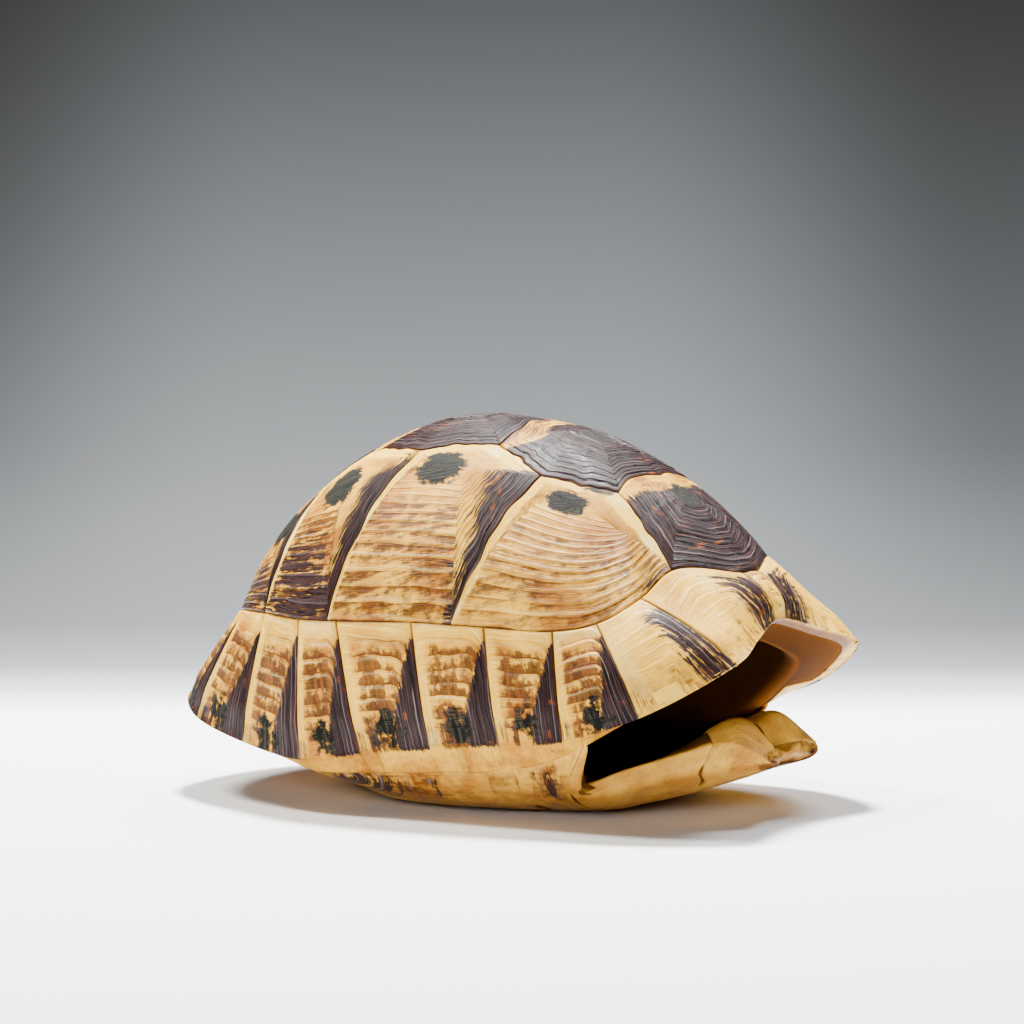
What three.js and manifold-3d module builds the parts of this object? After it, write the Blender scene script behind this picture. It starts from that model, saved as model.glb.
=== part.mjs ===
// Shell of a Mediterranean tortoise: a domed carapace, two bridges and a plastron, grown together
// as one hollow box of bone under horn scutes, open at the head and tail ends.
// Millimetres. +X is the head end, +Y the animal's left side, +Z up.
import * as THREE from 'three';
import { mergeVertices } from 'three/addons/utils/BufferGeometryUtils.js';
import Module from 'manifold-3d';

// ---- driving dimensions ----

const crown = new THREE.Vector3(-12, 0, 109.7); // highest point of the dome
const discHalf = { x: 76, y: 60 }; // half axes that turn a seam point into an angle round the crown
const arc = { front: 42, side: 72, rear: 58 }; // degrees of arc in the dome's profile, each way
const boneWall = 3.5; // thickness of the dome
const lipWidth = 5; // how far the rim's inner lip runs in
const lipRise = 2; // and up
const rimBulge = { everywhere: 0.5, front: 1.5 }; // how far the marginal scutes round outward
const domeStep = 7; // longest facet edge along a scute outline
const ringSteps = 1440; // steps of the table that finds the seam at an angle

// The carapace from the middle of the neck, round the right side, to the tail. Each row is a place
// where two marginal scutes meet (or the widest point of the first): its seam with the dome, the
// outer rim, and the inner lip of the rim, as x, distance from the middle, z.
const stations = [
  { seam: [69.8, 0, 67.7], rim: [80.3, 0, 55.2], lip: [69, 0, 49.2] },
  { seam: [69.5, 5, 67.5], rim: [80, 3.5, 55], lip: [69, 4, 49] },
  { seam: [60.5, 29.5, 69.5], rim: [83, 20, 51], lip: [72, 17, 45] },
  { seam: [56, 38.8, 62.3], rim: [86, 38.5, 46], lip: [71, 32, 39.5] },
  { seam: [48.4, 50, 56], rim: [65.5, 57, 32], lip: [58, 47, 30] },
  { seam: [37.5, 54.8, 54], rim: [44.5, 62, 25.4], lip: [42, 56.5, 20] },
  { seam: [17.7, 58.2, 54.5], rim: [24.6, 62.8, 24], lip: [24, 57.5, 15] },
  { seam: [-4.6, 60, 55], rim: [2.6, 63, 21.5], lip: [2.6, 57.5, 13] },
  { seam: [-29, 60.4, 54.3], rim: [-20.4, 63, 18.6], lip: [-20, 57.5, 11.5] },
  { seam: [-42.6, 58.6, 54], rim: [-40, 63.5, 15], lip: [-40, 57, 11] },
  { seam: [-58, 52.5, 54.5], rim: [-63.2, 58, 17.8], lip: [-58, 50, 15.5] },
  { seam: [-72, 42.5, 54], rim: [-87.5, 46.5, 22.5], lip: [-76, 40, 22] },
  { seam: [-82.5, 28, 52], rim: [-101.5, 30, 26.5], lip: [-88, 26, 25] },
  { seam: [-88.5, 11, 50], rim: [-106, 11, 25.5], lip: [-92, 10, 24.5] },
  { seam: [-89, 0, 49.5], rim: [-106.5, 0, 25], lip: [-92.5, 0, 24] },
];

// Scute layout. Corners on the dome are given on a unit disc laid over it, +u to the head and +v to
// the left. Places on the seam ring are given as station numbers, counted from the neck.
const corner = {
  v1v2: [0.595, -0.33], v2c1: [0.32, -0.392], v2v3: [0.147, -0.309], v3c2: [-0.083, -0.372],
  v3v4: [-0.3, -0.28], v4c3: [-0.445, -0.345], v4v5: [-0.62, -0.24],
};
const ring = { v1c1: 2, c1c2: 6.45, c2c3: 8.2, c3c4: 10, c4v5: 12.3 };
const marginals = [[1, 3], [3, 4], [4, 5], [5, 6], [6, 7], [7, 8], [8, 9], [9, 10], [10, 11], [11, 12],
  [12, 13]];
const domeLedges = [[0.3, 1.9], [0.37, 1.5], [0.64, 1.4], [0.7, 1], [0.94, 0.9]]; // share, height
const marginLedges = [[0.5, 1.1], [0.9, 0.8]];
const areola = { along: 0.6, down: 0.72 }; // the first small plate of a marginal, low and to the rear

// The plastron, from its front edge to its rear edge. Each row is half a section, from the middle of
// the underside out to the edge and back over the inside: x, distance from the middle, z.
const sections = [
  [[78, 0, 14.5], [83, 8, 15], [84.5, 12, 16], [84, 15.5, 17], [83, 16.5, 18.5],
    [82, 9, 20], [76.5, 0, 18.5]],
  [[73, 0, 12.2], [74.5, 9, 12.5], [76, 16, 14], [75.5, 21.5, 17], [74, 21.5, 22],
    [72.5, 11, 27.5], [71, 0, 25]],
  [[61, 0, 7.8], [62, 12, 8], [63.5, 20, 10], [63.5, 27.5, 14], [62, 27, 18.5],
    [59, 13, 21], [57, 0, 19.5]],
  [[51, 0, 4.3], [51, 14, 4.8], [51.5, 27, 7.5], [51.5, 35, 10.5], [50, 34.5, 14.5],
    [47, 20, 12], [46, 0, 10]],
  [[42, 0, 2], [42, 18, 2.4], [42.5, 33, 4.5], [41.5, 43.5, 8], [40.5, 45, 11],
    [40, 34, 9.5], [41, 0, 7.8]],
  [[38, 0, 1], [38, 17, 1.2], [39, 36, 4.8], [41.5, 49, 12], [48, 56, 24.5],
    [40, 48, 16], [37, 0, 7]],
  [[30, 0, 0], [30, 17, 0], [31, 41, 5.5], [31, 55.5, 14.5], [31, 57.5, 20.5],
    [30, 49, 12.5], [30, 0, 6]],
  [[-5, 0, 0], [-5, 27, 0], [-5, 46, 4.5], [-5, 56, 12], [-5, 57.5, 18],
    [-5, 49.5, 11.5], [-5, 0, 5.5]],
  [[-30, 0, 0], [-30, 24, 0], [-30, 42, 5], [-30, 55, 10.8], [-30, 57, 16.5],
    [-30, 49.5, 11.5], [-30, 0, 5.5]],
  [[-39, 0, 0.2], [-39, 18, 0.6], [-39, 38, 7], [-40, 54.5, 11.2], [-40, 56.5, 16],
    [-39, 48.5, 12.5], [-39, 0, 5.8]],
  [[-46, 0, 0.5], [-46, 16, 1.5], [-47, 32, 7.5], [-48, 47.5, 12.2], [-47.5, 51, 16.5],
    [-46, 44, 14], [-45, 0, 6.3]],
  [[-53, 0, 1], [-53, 14, 2.7], [-53.5, 28, 8.5], [-54, 36.5, 12.2], [-53.5, 36.5, 15.5],
    [-53, 26, 13], [-53, 0, 7.5]],
  [[-66, 0, 3.2], [-66, 13, 6], [-67, 21.5, 9.7], [-67.5, 28, 12.8], [-67, 27.5, 15.7],
    [-66, 19, 13.5], [-66, 0, 10]],
  [[-73, 0, 5.8], [-76, 10, 8.5], [-78, 16, 11], [-79, 20.5, 13.2], [-78.5, 20, 15.4],
    [-76, 11, 13.8], [-72, 0, 11.5]],
  [[-75, 0, 7], [-81.5, 9, 10.2], [-83.5, 13, 11.6], [-83.5, 16.5, 12.8], [-82.5, 16, 14.6],
    [-80.5, 9, 13.8], [-74.5, 0, 11.5]],
];
const edgeIndex = 4; // the point of a section where the underside ends and the inside begins
// Seams across the plastron, as section numbers at the middle and at the edge.
const crossSeams = [[0, 0], [2.5, 1.3], [5.8, 5], [6.35, 6.15], [9, 10], [11.4, 12.3], [14, 14]];
const platePart = [0, 0.06, 0.27, 0.5, 0.73, 0.94, 1]; // grid lines of a plate, front to rear
const plateAcross = [0, 0.03, 0.25, 0.42, 0.6, 0.8, 0.97, 1]; // and from the middle to the edge
const insideAcross = [1, 1.25, 1.5, 1.75, 2, 2.25, 2.5, 2.75, 3]; // grid lines over the inside
const plateRise = 0.5; // how far the plates of the plastron stand out of their seams

// ---- curves and surfaces ----

const loopLength = 2 * (stations.length - 1);
const wrap = (k) => ((k % loopLength) + loopLength) % loopLength;

function loopThrough(key) {
  const right = stations.map((row) => new THREE.Vector3(row[key][0], -row[key][1], row[key][2]));
  const left = right.slice(1, -1).reverse().map((p) => new THREE.Vector3(p.x, -p.y, p.z));
  const curve = new THREE.CatmullRomCurve3([...right, ...left], true, 'centripetal');
  return (k) => curve.getPoint(wrap(k) / loopLength);
}
const seamAt = loopThrough('seam');
const rimAt = loopThrough('rim');
const lipAt = loopThrough('lip');

// Angle round the crown, growing from the neck by the right side to the tail.
const angleOf = (p) => {
  const angle = -Math.atan2(p.y / discHalf.y, (p.x - crown.x) / discHalf.x);
  return angle < -1e-9 ? angle + 2 * Math.PI : Math.abs(angle);
};
const seamTable = Array.from({ length: ringSteps }, (_, i) => {
  const point = seamAt((i * loopLength) / ringSteps);
  return { point, angle: angleOf(point) };
});
seamTable.push({ point: seamTable[0].point, angle: 2 * Math.PI });

function seamByAngle(angle) {
  let low = 0;
  let high = seamTable.length - 1;
  while (high - low > 1) {
    const middle = (low + high) >> 1;
    if (seamTable[middle].angle <= angle) low = middle;
    else high = middle;
  }
  const a = seamTable[low];
  const b = seamTable[high];
  return a.point.clone().lerp(b.point, (angle - a.angle) / (b.angle - a.angle));
}

// The dome: from each point of the seam ring a circular arc rises to the crown.
function dome(u, v) {
  const reach = Math.hypot(u, v);
  const turn = -Math.atan2(v, u);
  const seam = seamByAngle(turn < 0 ? turn + 2 * Math.PI : turn);
  const side = Math.sin(turn) ** 2;
  const end = Math.cos(turn) > 0 ? arc.front : arc.rear;
  const phi = THREE.MathUtils.degToRad(end + (arc.side - end) * side);
  const out = Math.sin(reach * phi) / Math.sin(phi);
  const up = (Math.cos(reach * phi) - Math.cos(phi)) / (1 - Math.cos(phi));
  return new THREE.Vector3(
    crown.x + out * (seam.x - crown.x), out * seam.y, seam.z + (crown.z - seam.z) * up);
}

function ringToDisc(k) {
  const angle = angleOf(seamAt(k));
  return [Math.cos(angle), -Math.sin(angle)];
}

// A marginal: from the seam (1) over the rounded face to the rim (2) and under it to the lip (3).
function margin(k, s) {
  const seam = seamAt(k);
  const rim = rimAt(k);
  if (s > 2) return rim.lerp(lipAt(k), s - 2);
  const along = seamAt(k + 0.01).sub(seamAt(k - 0.01));
  const outward = along.cross(rim.clone().sub(seam)).normalize();
  const bulge = rimBulge.everywhere
    + rimBulge.front * Math.max(0, Math.cos((2 * Math.PI * k) / loopLength));
  return seam.lerp(rim, s - 1).addScaledVector(outward, bulge * Math.sin(Math.PI * (s - 1)));
}

// The plastron: p counts sections to the rear, q runs from -1 (right edge) over the underside to
// 1 (left edge), and on over the inside to 3 (right edge again).
const sectionCurves = sections[0].map((_, i) => new THREE.CatmullRomCurve3(
  sections.map((row) => new THREE.Vector3(...row[i])), false, 'centripetal'));

function plastron(p, q) {
  const half = sectionCurves.map((curve) => curve.getPoint(p / (sections.length - 1)));
  const under = Math.abs(q) <= 1;
  const chain = under ? half.slice(0, edgeIndex + 1) : half.slice(edgeIndex).reverse();
  const across = under ? q : 2 - q;
  const mirrored = new THREE.Vector3(chain[1].x, -chain[1].y, chain[1].z);
  const curve = new THREE.CatmullRomCurve3([mirrored, ...chain], false, 'centripetal');
  const t = (1 + Math.abs(across) * (chain.length - 1)) / chain.length;
  const point = curve.getPoint(Math.min(t, 1));
  if (under) point.z = Math.max(point.z, half[0].z, 0);
  point.y = Math.abs(point.y) * Math.sign(across);
  return point;
}

// A point of a surface, moved out along the surface's normal.
function raised(surface, a, b, height) {
  const step = 1e-3;
  const point = surface(a, b);
  const alongA = surface(a + step, b).sub(surface(a - step, b));
  const alongB = surface(a, b + step).sub(surface(a, b - step));
  return point.addScaledVector(alongA.cross(alongB).normalize(), height);
}

// ---- skins, as flat lists of triangle corners ----

function quad(skin, a, b, c, d) {
  skin.push(a, b, c, a, c, d);
}

// Joins two chains that hold the same number of points, the second to the left of the first.
function band(skin, near, far) {
  for (let i = 0; i + 1 < near.length; i += 1) quad(skin, near[i], near[i + 1], far[i + 1], far[i]);
}

// A horn scute: rings step down from the hub to the outline.
function scute(skin, surface, outline, hub, ledges) {
  const area = outline.reduce((sum, p, i) => {
    const next = outline[(i + 1) % outline.length];
    return sum + p.a * next.b - next.a * p.b;
  }, 0);
  const edge = area < 0 ? [...outline].reverse() : outline;
  const closed = [...edge, edge[0]];
  const rings = ledges.map(([share, height]) => closed.map((p) => raised(
    surface, hub[0] + (p.a - hub[0]) * share, hub[1] + (p.b - hub[1]) * share, height)));
  const top = raised(surface, ...hub, ledges[0][1]);
  for (let i = 0; i + 1 < closed.length; i += 1) skin.push(top, rings[0][i], rings[0][i + 1]);
  const all = [...rings, closed.map((p) => p.point)];
  for (let i = 0; i + 1 < all.length; i += 1) band(skin, all[i + 1], all[i]);
}

// Sample places on the ring: every knot, with even steps between.
const rightKnots = [...stations.keys(), ring.c1c2, ring.c2c3, ring.c4v5].sort((a, b) => a - b);
const knots = [...rightKnots, ...rightKnots.slice(0, -1).reverse().map((k) => loopLength - k)];
const ringPlaces = [];
for (let i = 0; i + 1 < knots.length; i += 1) {
  const span = knots[i + 1] - knots[i];
  const parts = Math.ceil(seamAt(knots[i]).distanceTo(seamAt(knots[i + 1])) / domeStep);
  for (let j = 0; j < parts; j += 1) ringPlaces.push(knots[i] + (span * j) / parts);
}

function placesBetween(from, to) {
  const shift = from < 0 ? loopLength : 0;
  return [...ringPlaces, ...ringPlaces.map((k) => k + loopLength)]
    .filter((k) => k > from + shift - 1e-6 && k < to + shift + 1e-6).map((k) => k - shift);
}

function ringEdge(from, to) {
  return placesBetween(from, to).map((k) => {
    const [a, b] = ringToDisc(k);
    return { a, b, point: dome(a, b) };
  });
}

function domeSeam(from, to) {
  const parts = Math.ceil(dome(...from).distanceTo(dome(...to)) / domeStep);
  return Array.from({ length: parts + 1 }, (_, i) => {
    const a = from[0] + ((to[0] - from[0]) * i) / parts;
    const b = from[1] + ((to[1] - from[1]) * i) / parts;
    return { a, b, point: dome(a, b) };
  });
}

// Chains edges into one closed outline, each edge giving all but its last point.
const chainOf = (...edges) => edges.flatMap((edge) => edge.slice(0, -1));
const mirror = ([u, v]) => [u, -v];
const meanOf = (outline) => [
  outline.reduce((sum, p) => sum + p.a, 0) / outline.length,
  outline.reduce((sum, p) => sum + p.b, 0) / outline.length,
];

function vertebralScutes(skin) {
  const { v1v2, v2c1, v2v3, v3c2, v3v4, v4c3, v4v5 } = corner;
  const back = { from: loopLength - ring.c4v5, to: ring.c4v5 };
  const first = chainOf(ringEdge(-ring.v1c1, ring.v1c1), domeSeam(ringToDisc(ring.v1c1), v1v2),
    domeSeam(v1v2, mirror(v1v2)), domeSeam(mirror(v1v2), ringToDisc(-ring.v1c1)));
  const last = chainOf(ringEdge(back.to, back.from), domeSeam(ringToDisc(back.from), mirror(v4v5)),
    domeSeam(mirror(v4v5), v4v5), domeSeam(v4v5, ringToDisc(back.to)));
  const sixSided = (...right) => {
    const loop = [...right, ...right.map(mirror).reverse()];
    return chainOf(...loop.map((from, i) => domeSeam(from, loop[(i + 1) % loop.length])));
  };
  const middle = [sixSided(v1v2, v2c1, v2v3), sixSided(v2v3, v3c2, v3v4), sixSided(v3v4, v4c3, v4v5)];
  for (const outline of [first, ...middle, last]) {
    scute(skin, dome, outline, meanOf(outline), domeLedges);
  }
}

function costalScutes(skin, side) {
  const place = (k) => (side < 0 ? k : loopLength - k);
  const at = (point) => (side < 0 ? point : mirror(point));
  const foot = (from, to) => (side < 0 ? ringEdge(from, to) : ringEdge(place(to), place(from)).reverse());
  const { v1v2, v2c1, v2v3, v3c2, v3v4, v4c3, v4v5 } = corner;
  const tops = [[v2c1, v1v2], [v3c2, v2v3, v2c1], [v4c3, v3v4, v3c2], [v4v5, v4c3]];
  const feet = [ring.v1c1, ring.c1c2, ring.c2c3, ring.c3c4, ring.c4v5];
  tops.forEach((top, i) => {
    const start = ringToDisc(place(feet[i]));
    const end = ringToDisc(place(feet[i + 1]));
    const corners = [end, ...top.map(at), start];
    const seams = corners.slice(1).map((to, j) => domeSeam(corners[j], to));
    const outline = chainOf(foot(feet[i], feet[i + 1]), ...seams);
    const low = meanOf(outline);
    const high = meanOf(top.map(at).map(([a, b]) => ({ a, b })));
    const hub = [low[0] * 0.45 + high[0] * 0.55, low[1] * 0.45 + high[1] * 0.55];
    scute(skin, dome, outline, hub, domeLedges);
  });
}

// Upper face of one marginal scute; "rear" says which end of its span is towards the tail.
function marginalScute(skin, from, to, rear) {
  const places = placesBetween(from, to);
  const at = (k, s) => ({ a: k, b: s, point: s === 1 ? dome(...ringToDisc(k)) : margin(k, s) });
  const along = (s) => places.map((k) => at(k, s));
  const down = (k) => {
    const parts = Math.ceil(seamAt(k).distanceTo(rimAt(k)) / domeStep);
    return Array.from({ length: parts + 1 }, (_, i) => at(k, 1 + i / parts));
  };
  const outline = chainOf(along(1), down(to), along(2).reverse(), down(from).reverse());
  const share = rear === to ? areola.along : 1 - areola.along;
  scute(skin, margin, outline, [from + (to - from) * share, 1 + areola.down], marginLedges);
}

function marginalScutes(skin) {
  marginalScute(skin, -1, 1, 1);
  marginalScute(skin, 13, 15, 15);
  for (const [from, to] of marginals) {
    marginalScute(skin, from, to, to);
    marginalScute(skin, loopLength - to, loopLength - from, loopLength - to);
  }
}

// Underside of the rim, the lip inside it, and the hollow of the dome.
function carapaceInside(skin) {
  const places = [...ringPlaces, loopLength];
  const rimRow = places.map((k) => margin(k, 2));
  const lipRow = places.map((k) => margin(k, 3));
  const shelfRow = places.map((k) => {
    const lip = margin(k, 3);
    const inward = new THREE.Vector3(crown.x - lip.x, -lip.y, 0).normalize();
    return lip.addScaledVector(inward, lipWidth).add(new THREE.Vector3(0, 0, lipRise));
  });
  const hollow = [1, 0.78, 0.52, 0.26].map((share) => places.map((k) => {
    const [u, v] = ringToDisc(k);
    return raised(dome, u * share, v * share, -boneWall);
  }));
  const rows = [rimRow, lipRow, shelfRow, ...hollow];
  for (let i = 0; i + 1 < rows.length; i += 1) band(skin, rows[i], rows[i + 1]);
  const top = new THREE.Vector3(crown.x, 0, crown.z - boneWall);
  const last = rows[rows.length - 1];
  for (let i = 0; i + 1 < last.length; i += 1) skin.push(last[i], last[i + 1], top);
}

// Joins two chains of different lengths that share their ends.
function stitch(skin, near, far, flip) {
  let i = 0;
  let j = 0;
  while (i + 1 < near.length || j + 1 < far.length) {
    const stepNear = j + 1 === far.length
      || (i + 1 < near.length && (i + 1) / (near.length - 1) <= (j + 1) / (far.length - 1));
    const third = stepNear ? near[i + 1] : far[j + 1];
    if (flip) skin.push(near[i], far[j], third);
    else skin.push(near[i], third, far[j]);
    if (stepNear) i += 1;
    else j += 1;
  }
}

function plastronSkin() {
  const skin = [];
  const edgePlaces = new Set();
  const acrossBoth = [...plateAcross.slice(1).reverse().map((q) => -q), ...plateAcross];
  for (let n = 0; n + 1 < crossSeams.length; n += 1) {
    const [front, rear] = [crossSeams[n], crossSeams[n + 1]];
    const placeOf = (part, q) => {
      const start = front[0] + (front[1] - front[0]) * Math.abs(q);
      const end = rear[0] + (rear[1] - rear[0]) * Math.abs(q);
      return start + (end - start) * part;
    };
    const rows = platePart.map((part) => acrossBoth.map((q) => {
      const p = placeOf(part, q);
      const onSeam = part === 0 || part === 1 || q === 0 || Math.abs(q) === 1;
      return onSeam ? plastron(p, q) : raised(plastron, p, q, plateRise);
    }));
    for (let i = 0; i + 1 < rows.length; i += 1) band(skin, rows[i + 1], rows[i]);
    platePart.forEach((part) => edgePlaces.add(placeOf(part, 1)));
  }
  const inside = [...edgePlaces].sort((a, b) => a - b)
    .map((p) => insideAcross.map((q) => plastron(p, q)));
  for (let i = 0; i + 1 < inside.length; i += 1) band(skin, inside[i + 1], inside[i]);
  const last = sections.length - 1;
  for (const [p, flip] of [[0, false], [last, true]]) {
    const under = acrossBoth.map((q) => plastron(p, q));
    const over = insideAcross.map((q) => plastron(p, q)).reverse();
    stitch(skin, under, over, flip);
  }
  return skin;
}

// ---- solids ----

const wasm = await Module();
wasm.setup();

function solidOf(skin) {
  const geometry = new THREE.BufferGeometry();
  geometry.setAttribute('position', new THREE.Float32BufferAttribute(
    skin.flatMap((p) => [p.x, p.y, p.z]), 3));
  const merged = mergeVertices(geometry, 1e-3);
  const corners = merged.index.array;
  const triVerts = [];
  for (let i = 0; i < corners.length; i += 3) {
    const [a, b, c] = [corners[i], corners[i + 1], corners[i + 2]];
    if (a !== b && b !== c && c !== a) triVerts.push(a, b, c);
  }
  return new wasm.Manifold(new wasm.Mesh({
    numProp: 3,
    vertProperties: merged.attributes.position.array,
    triVerts: new Uint32Array(triVerts),
  }));
}

function carapaceSkin() {
  const skin = [];
  vertebralScutes(skin);
  costalScutes(skin, -1);
  costalScutes(skin, 1);
  marginalScutes(skin);
  carapaceInside(skin);
  return skin;
}

function shellGeometry() {
  const mesh = solidOf(carapaceSkin()).add(solidOf(plastronSkin())).getMesh();
  const geometry = new THREE.BufferGeometry();
  geometry.setAttribute('position', new THREE.BufferAttribute(mesh.vertProperties, 3));
  geometry.setIndex(new THREE.BufferAttribute(mesh.triVerts, 1));
  geometry.computeBoundingBox();
  const { min, max } = geometry.boundingBox;
  geometry.translate(-(min.x + max.x) / 2, -(min.y + max.y) / 2, -min.z);
  geometry.computeVertexNormals();
  return geometry;
}

const horn = new THREE.MeshStandardMaterial({ color: '#b98a4e', roughness: 0.45, metalness: 0 });
const shell = new THREE.Mesh(shellGeometry(), horn);
shell.name = 'shell';

const model = new THREE.Group();
model.add(shell);
export default model;
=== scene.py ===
# %% [markdown]
# # A tortoise shell in Blender
# The shell of a land tortoise is a box of bone with a skin of horn plates, the scutes. Each scute
# grows from a small first plate, the areola, by adding a ring round its edge every season, so it
# carries fine ridges and bands of dark pigment that follow its outline. This script makes the bone
# first as one smooth form, then lays every scute over it as its own closed plate, lets Geometry
# Nodes press the growth rings into them, and mixes the horn from the same ring measure.

# %% Load the fixed frame
import math

import bpy
import numpy as np
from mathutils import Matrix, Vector


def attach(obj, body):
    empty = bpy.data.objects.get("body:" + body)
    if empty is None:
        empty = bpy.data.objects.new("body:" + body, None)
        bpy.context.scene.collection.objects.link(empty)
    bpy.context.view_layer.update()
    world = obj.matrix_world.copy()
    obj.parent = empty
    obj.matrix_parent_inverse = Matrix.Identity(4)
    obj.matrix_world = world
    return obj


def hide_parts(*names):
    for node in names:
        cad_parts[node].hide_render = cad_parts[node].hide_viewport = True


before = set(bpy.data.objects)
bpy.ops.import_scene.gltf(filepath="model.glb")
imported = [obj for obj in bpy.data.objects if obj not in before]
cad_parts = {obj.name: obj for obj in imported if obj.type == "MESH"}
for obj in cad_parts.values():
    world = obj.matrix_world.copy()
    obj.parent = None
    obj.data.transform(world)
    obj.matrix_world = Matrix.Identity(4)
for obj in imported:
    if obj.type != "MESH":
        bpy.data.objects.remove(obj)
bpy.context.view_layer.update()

# %% [markdown]
# ## Camera
# The camera is far away on a long lens and only a little above the shell, so its outline hardly
# tapers. A shift of the lens could set the shell off centre, but turning the camera does it as
# well and keeps the lens plain. Its angles, distance and scale are named, and the lens follows.

# %% Camera
MM = 0.001
IMAGE = 1024
AZIMUTH, ELEVATION = math.radians(29.93), math.radians(5.43)
DISTANCE = 1101 * MM
PIXELS_PER_MM = 3.437
TARGET = Vector((10.2, 0, 47.1)) * MM
AIM_LEFT, AIM_UP = 6.6 * MM, 36.0 * MM

back = Vector((math.sin(AZIMUTH) * math.cos(ELEVATION), -math.cos(AZIMUTH) * math.cos(ELEVATION),
               math.sin(ELEVATION)))
right = Vector((math.cos(AZIMUTH), math.sin(AZIMUTH), 0))
up = back.cross(right)

camera_data = bpy.data.cameras.new("camera")
camera_data.sensor_width = 36
camera_data.lens = PIXELS_PER_MM * DISTANCE / MM / IMAGE * camera_data.sensor_width
camera = bpy.data.objects.new("camera", camera_data)
camera.location = TARGET + back * DISTANCE
aim = TARGET - right * AIM_LEFT + up * AIM_UP
camera.rotation_euler = (camera.location - aim).to_track_quat("Z", "Y").to_euler()
bpy.context.collection.objects.link(camera)
bpy.context.scene.camera = camera
print("lens %.1f mm" % camera_data.lens)

# %% [markdown]
# ## Colours and nodes
# Colours are written as the hex codes that a paint program shows, and one function makes them
# linear, because shaders add up light. Materials and the ring tree are graphs of nodes. In a
# script a long sum could take a line for each node and each link. Here a node's output is wrapped
# so that it adds and multiplies like a number, and one function adds every kind of node.

# %% Colours


def linear(code):
    """An sRGB hex colour as the linear RGBA that shaders use."""
    parts = [int(code[i:i + 2], 16) / 255 for i in (1, 3, 5)]
    return (*(c / 12.92 if c <= 0.04045 else ((c + 0.055) / 1.055) ** 2.4 for c in parts), 1.0)


print("mid grey #808080 is %.3f in linear light" % linear("#808080")[0])

# %% Outputs that work like numbers


class Signal:
    """A node's output that adds and multiplies like a number, by adding Math nodes."""

    def __init__(self, add, socket):
        self.add, self.socket = add, socket

    def __add__(self, other):
        return self.add("ADD", self, other)

    def __sub__(self, other):
        return self.add("SUBTRACT", self, other)

    def __rsub__(self, other):
        return self.add("SUBTRACT", other, self)

    def __mul__(self, other):
        return self.add("MULTIPLY", self, other)


def plug(tree, node, values):
    """Fills a node's inputs: a signal is linked, a hex colour is made linear, the rest is set."""
    for key, value in values.items():
        if isinstance(value, Signal):
            tree.links.new(value.socket, node.inputs[key])
        else:
            node.inputs[key].default_value = linear(value) if str(value)[:1] == "#" else value


print("signals can be added, taken away and multiplied")

# %% The function that adds a node
# Short names for the nodes used most: type, inputs in order, output, settings. A name in capitals
# is an operation of the Math node, and any other name is a node's full type, with all its outputs.
SPAN = ("Value", "From Min", "From Max", "To Min", "To Max")
NODES = {
    "Mix": ("ShaderNodeMix", (0, 6, 7), 2, {"data_type": "RGBA"}),
    "Step": ("ShaderNodeMapRange", SPAN, 0, {"interpolation_type": "SMOOTHSTEP"}),
    "Range": ("ShaderNodeMapRange", SPAN, 0, {}),
    "Noise": ("ShaderNodeTexNoise", ("Vector", "Scale", "Detail", "Roughness"), 0, {}),
    "Random": ("ShaderNodeTexWhiteNoise", ("W",), "Value", {"noise_dimensions": "1D"}),
    "Join": ("ShaderNodeCombineXYZ", (0, 1, 2), 0, {}),
    "Split": ("ShaderNodeSeparateXYZ", (0,), None, {}),
    "Dot": ("ShaderNodeVectorMath", (0, 1), "Value", {"operation": "DOT_PRODUCT"}),
    "Place": ("ShaderNodeTexCoord", (), "Object", {}),
    "Measure": ("ShaderNodeAttribute", (), "Fac", {}),
    "Vector": ("ShaderNodeAttribute", (), "Vector", {}),
    "Stored": ("GeometryNodeInputNamedAttribute", ("Name",), "Attribute", {}),
    "Bump": ("ShaderNodeBump", ("Height", "Strength", "Distance"), 0, {}),
}


def adder(tree):
    """Gives the one function that adds a node to this tree, with its settings and links."""

    def add(kind, *values, links={}, **settings):
        if kind.isupper():
            node_type, keys, output, fixed = "ShaderNodeMath", (0, 1), 0, {"operation": kind}
        else:
            node_type, keys, output, fixed = NODES.get(kind, (kind, (), None, {}))
        node = tree.nodes.new(node_type)
        for key, value in {**fixed, **settings}.items():
            setattr(node, key, value)
        plug(tree, node, {**dict(zip(keys, values)), **links})
        if output is None:
            return {socket.name: Signal(add, socket) for socket in node.outputs}
        return Signal(add, node.outputs[output])

    return add


def new_material(name):
    """A material with its node tree, its shader and the function that adds nodes."""
    material = bpy.data.materials.new(name)
    material.use_nodes = True
    tree = material.node_tree
    return material, tree, tree.nodes["Principled BSDF"], adder(tree)


print(len(NODES), "kinds of node have a short name")

# %% [markdown]
# ## Light and floor
# A shell is lit like any glossy curved thing: small bare lamps would give it hard white spots, so
# four soft boxes stand above and round it and give the horn long quiet highlights. The floor could
# be a plane before a wall, but then a line runs behind the shell. A sweep, which is a sheet of
# paper that bends up, has no such line.

# %% Lights
LIGHTS = [  # name, place in metres, size, watts, colour
    ("top_softbox", (-0.17, 0.3, 1.0), (0.15, 0.15), 70, "#FFFFFF"),
    ("left_softbox", (-0.5, -0.2, 0.9), (0.25, 0.25), 19, "#FFFBF4"),
    ("right_softbox", (0.1, 0.6, 0.85), (0.25, 0.25), 12, "#F8FAFF"),
    ("front_card", (0.3, -1.1, 0.35), (0.5, 0.3), 7, "#FFFFFF"),
]
LIT_POINT = Vector((0, 0, 0.05))
WORLD_STRENGTH = 0.035

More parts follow.
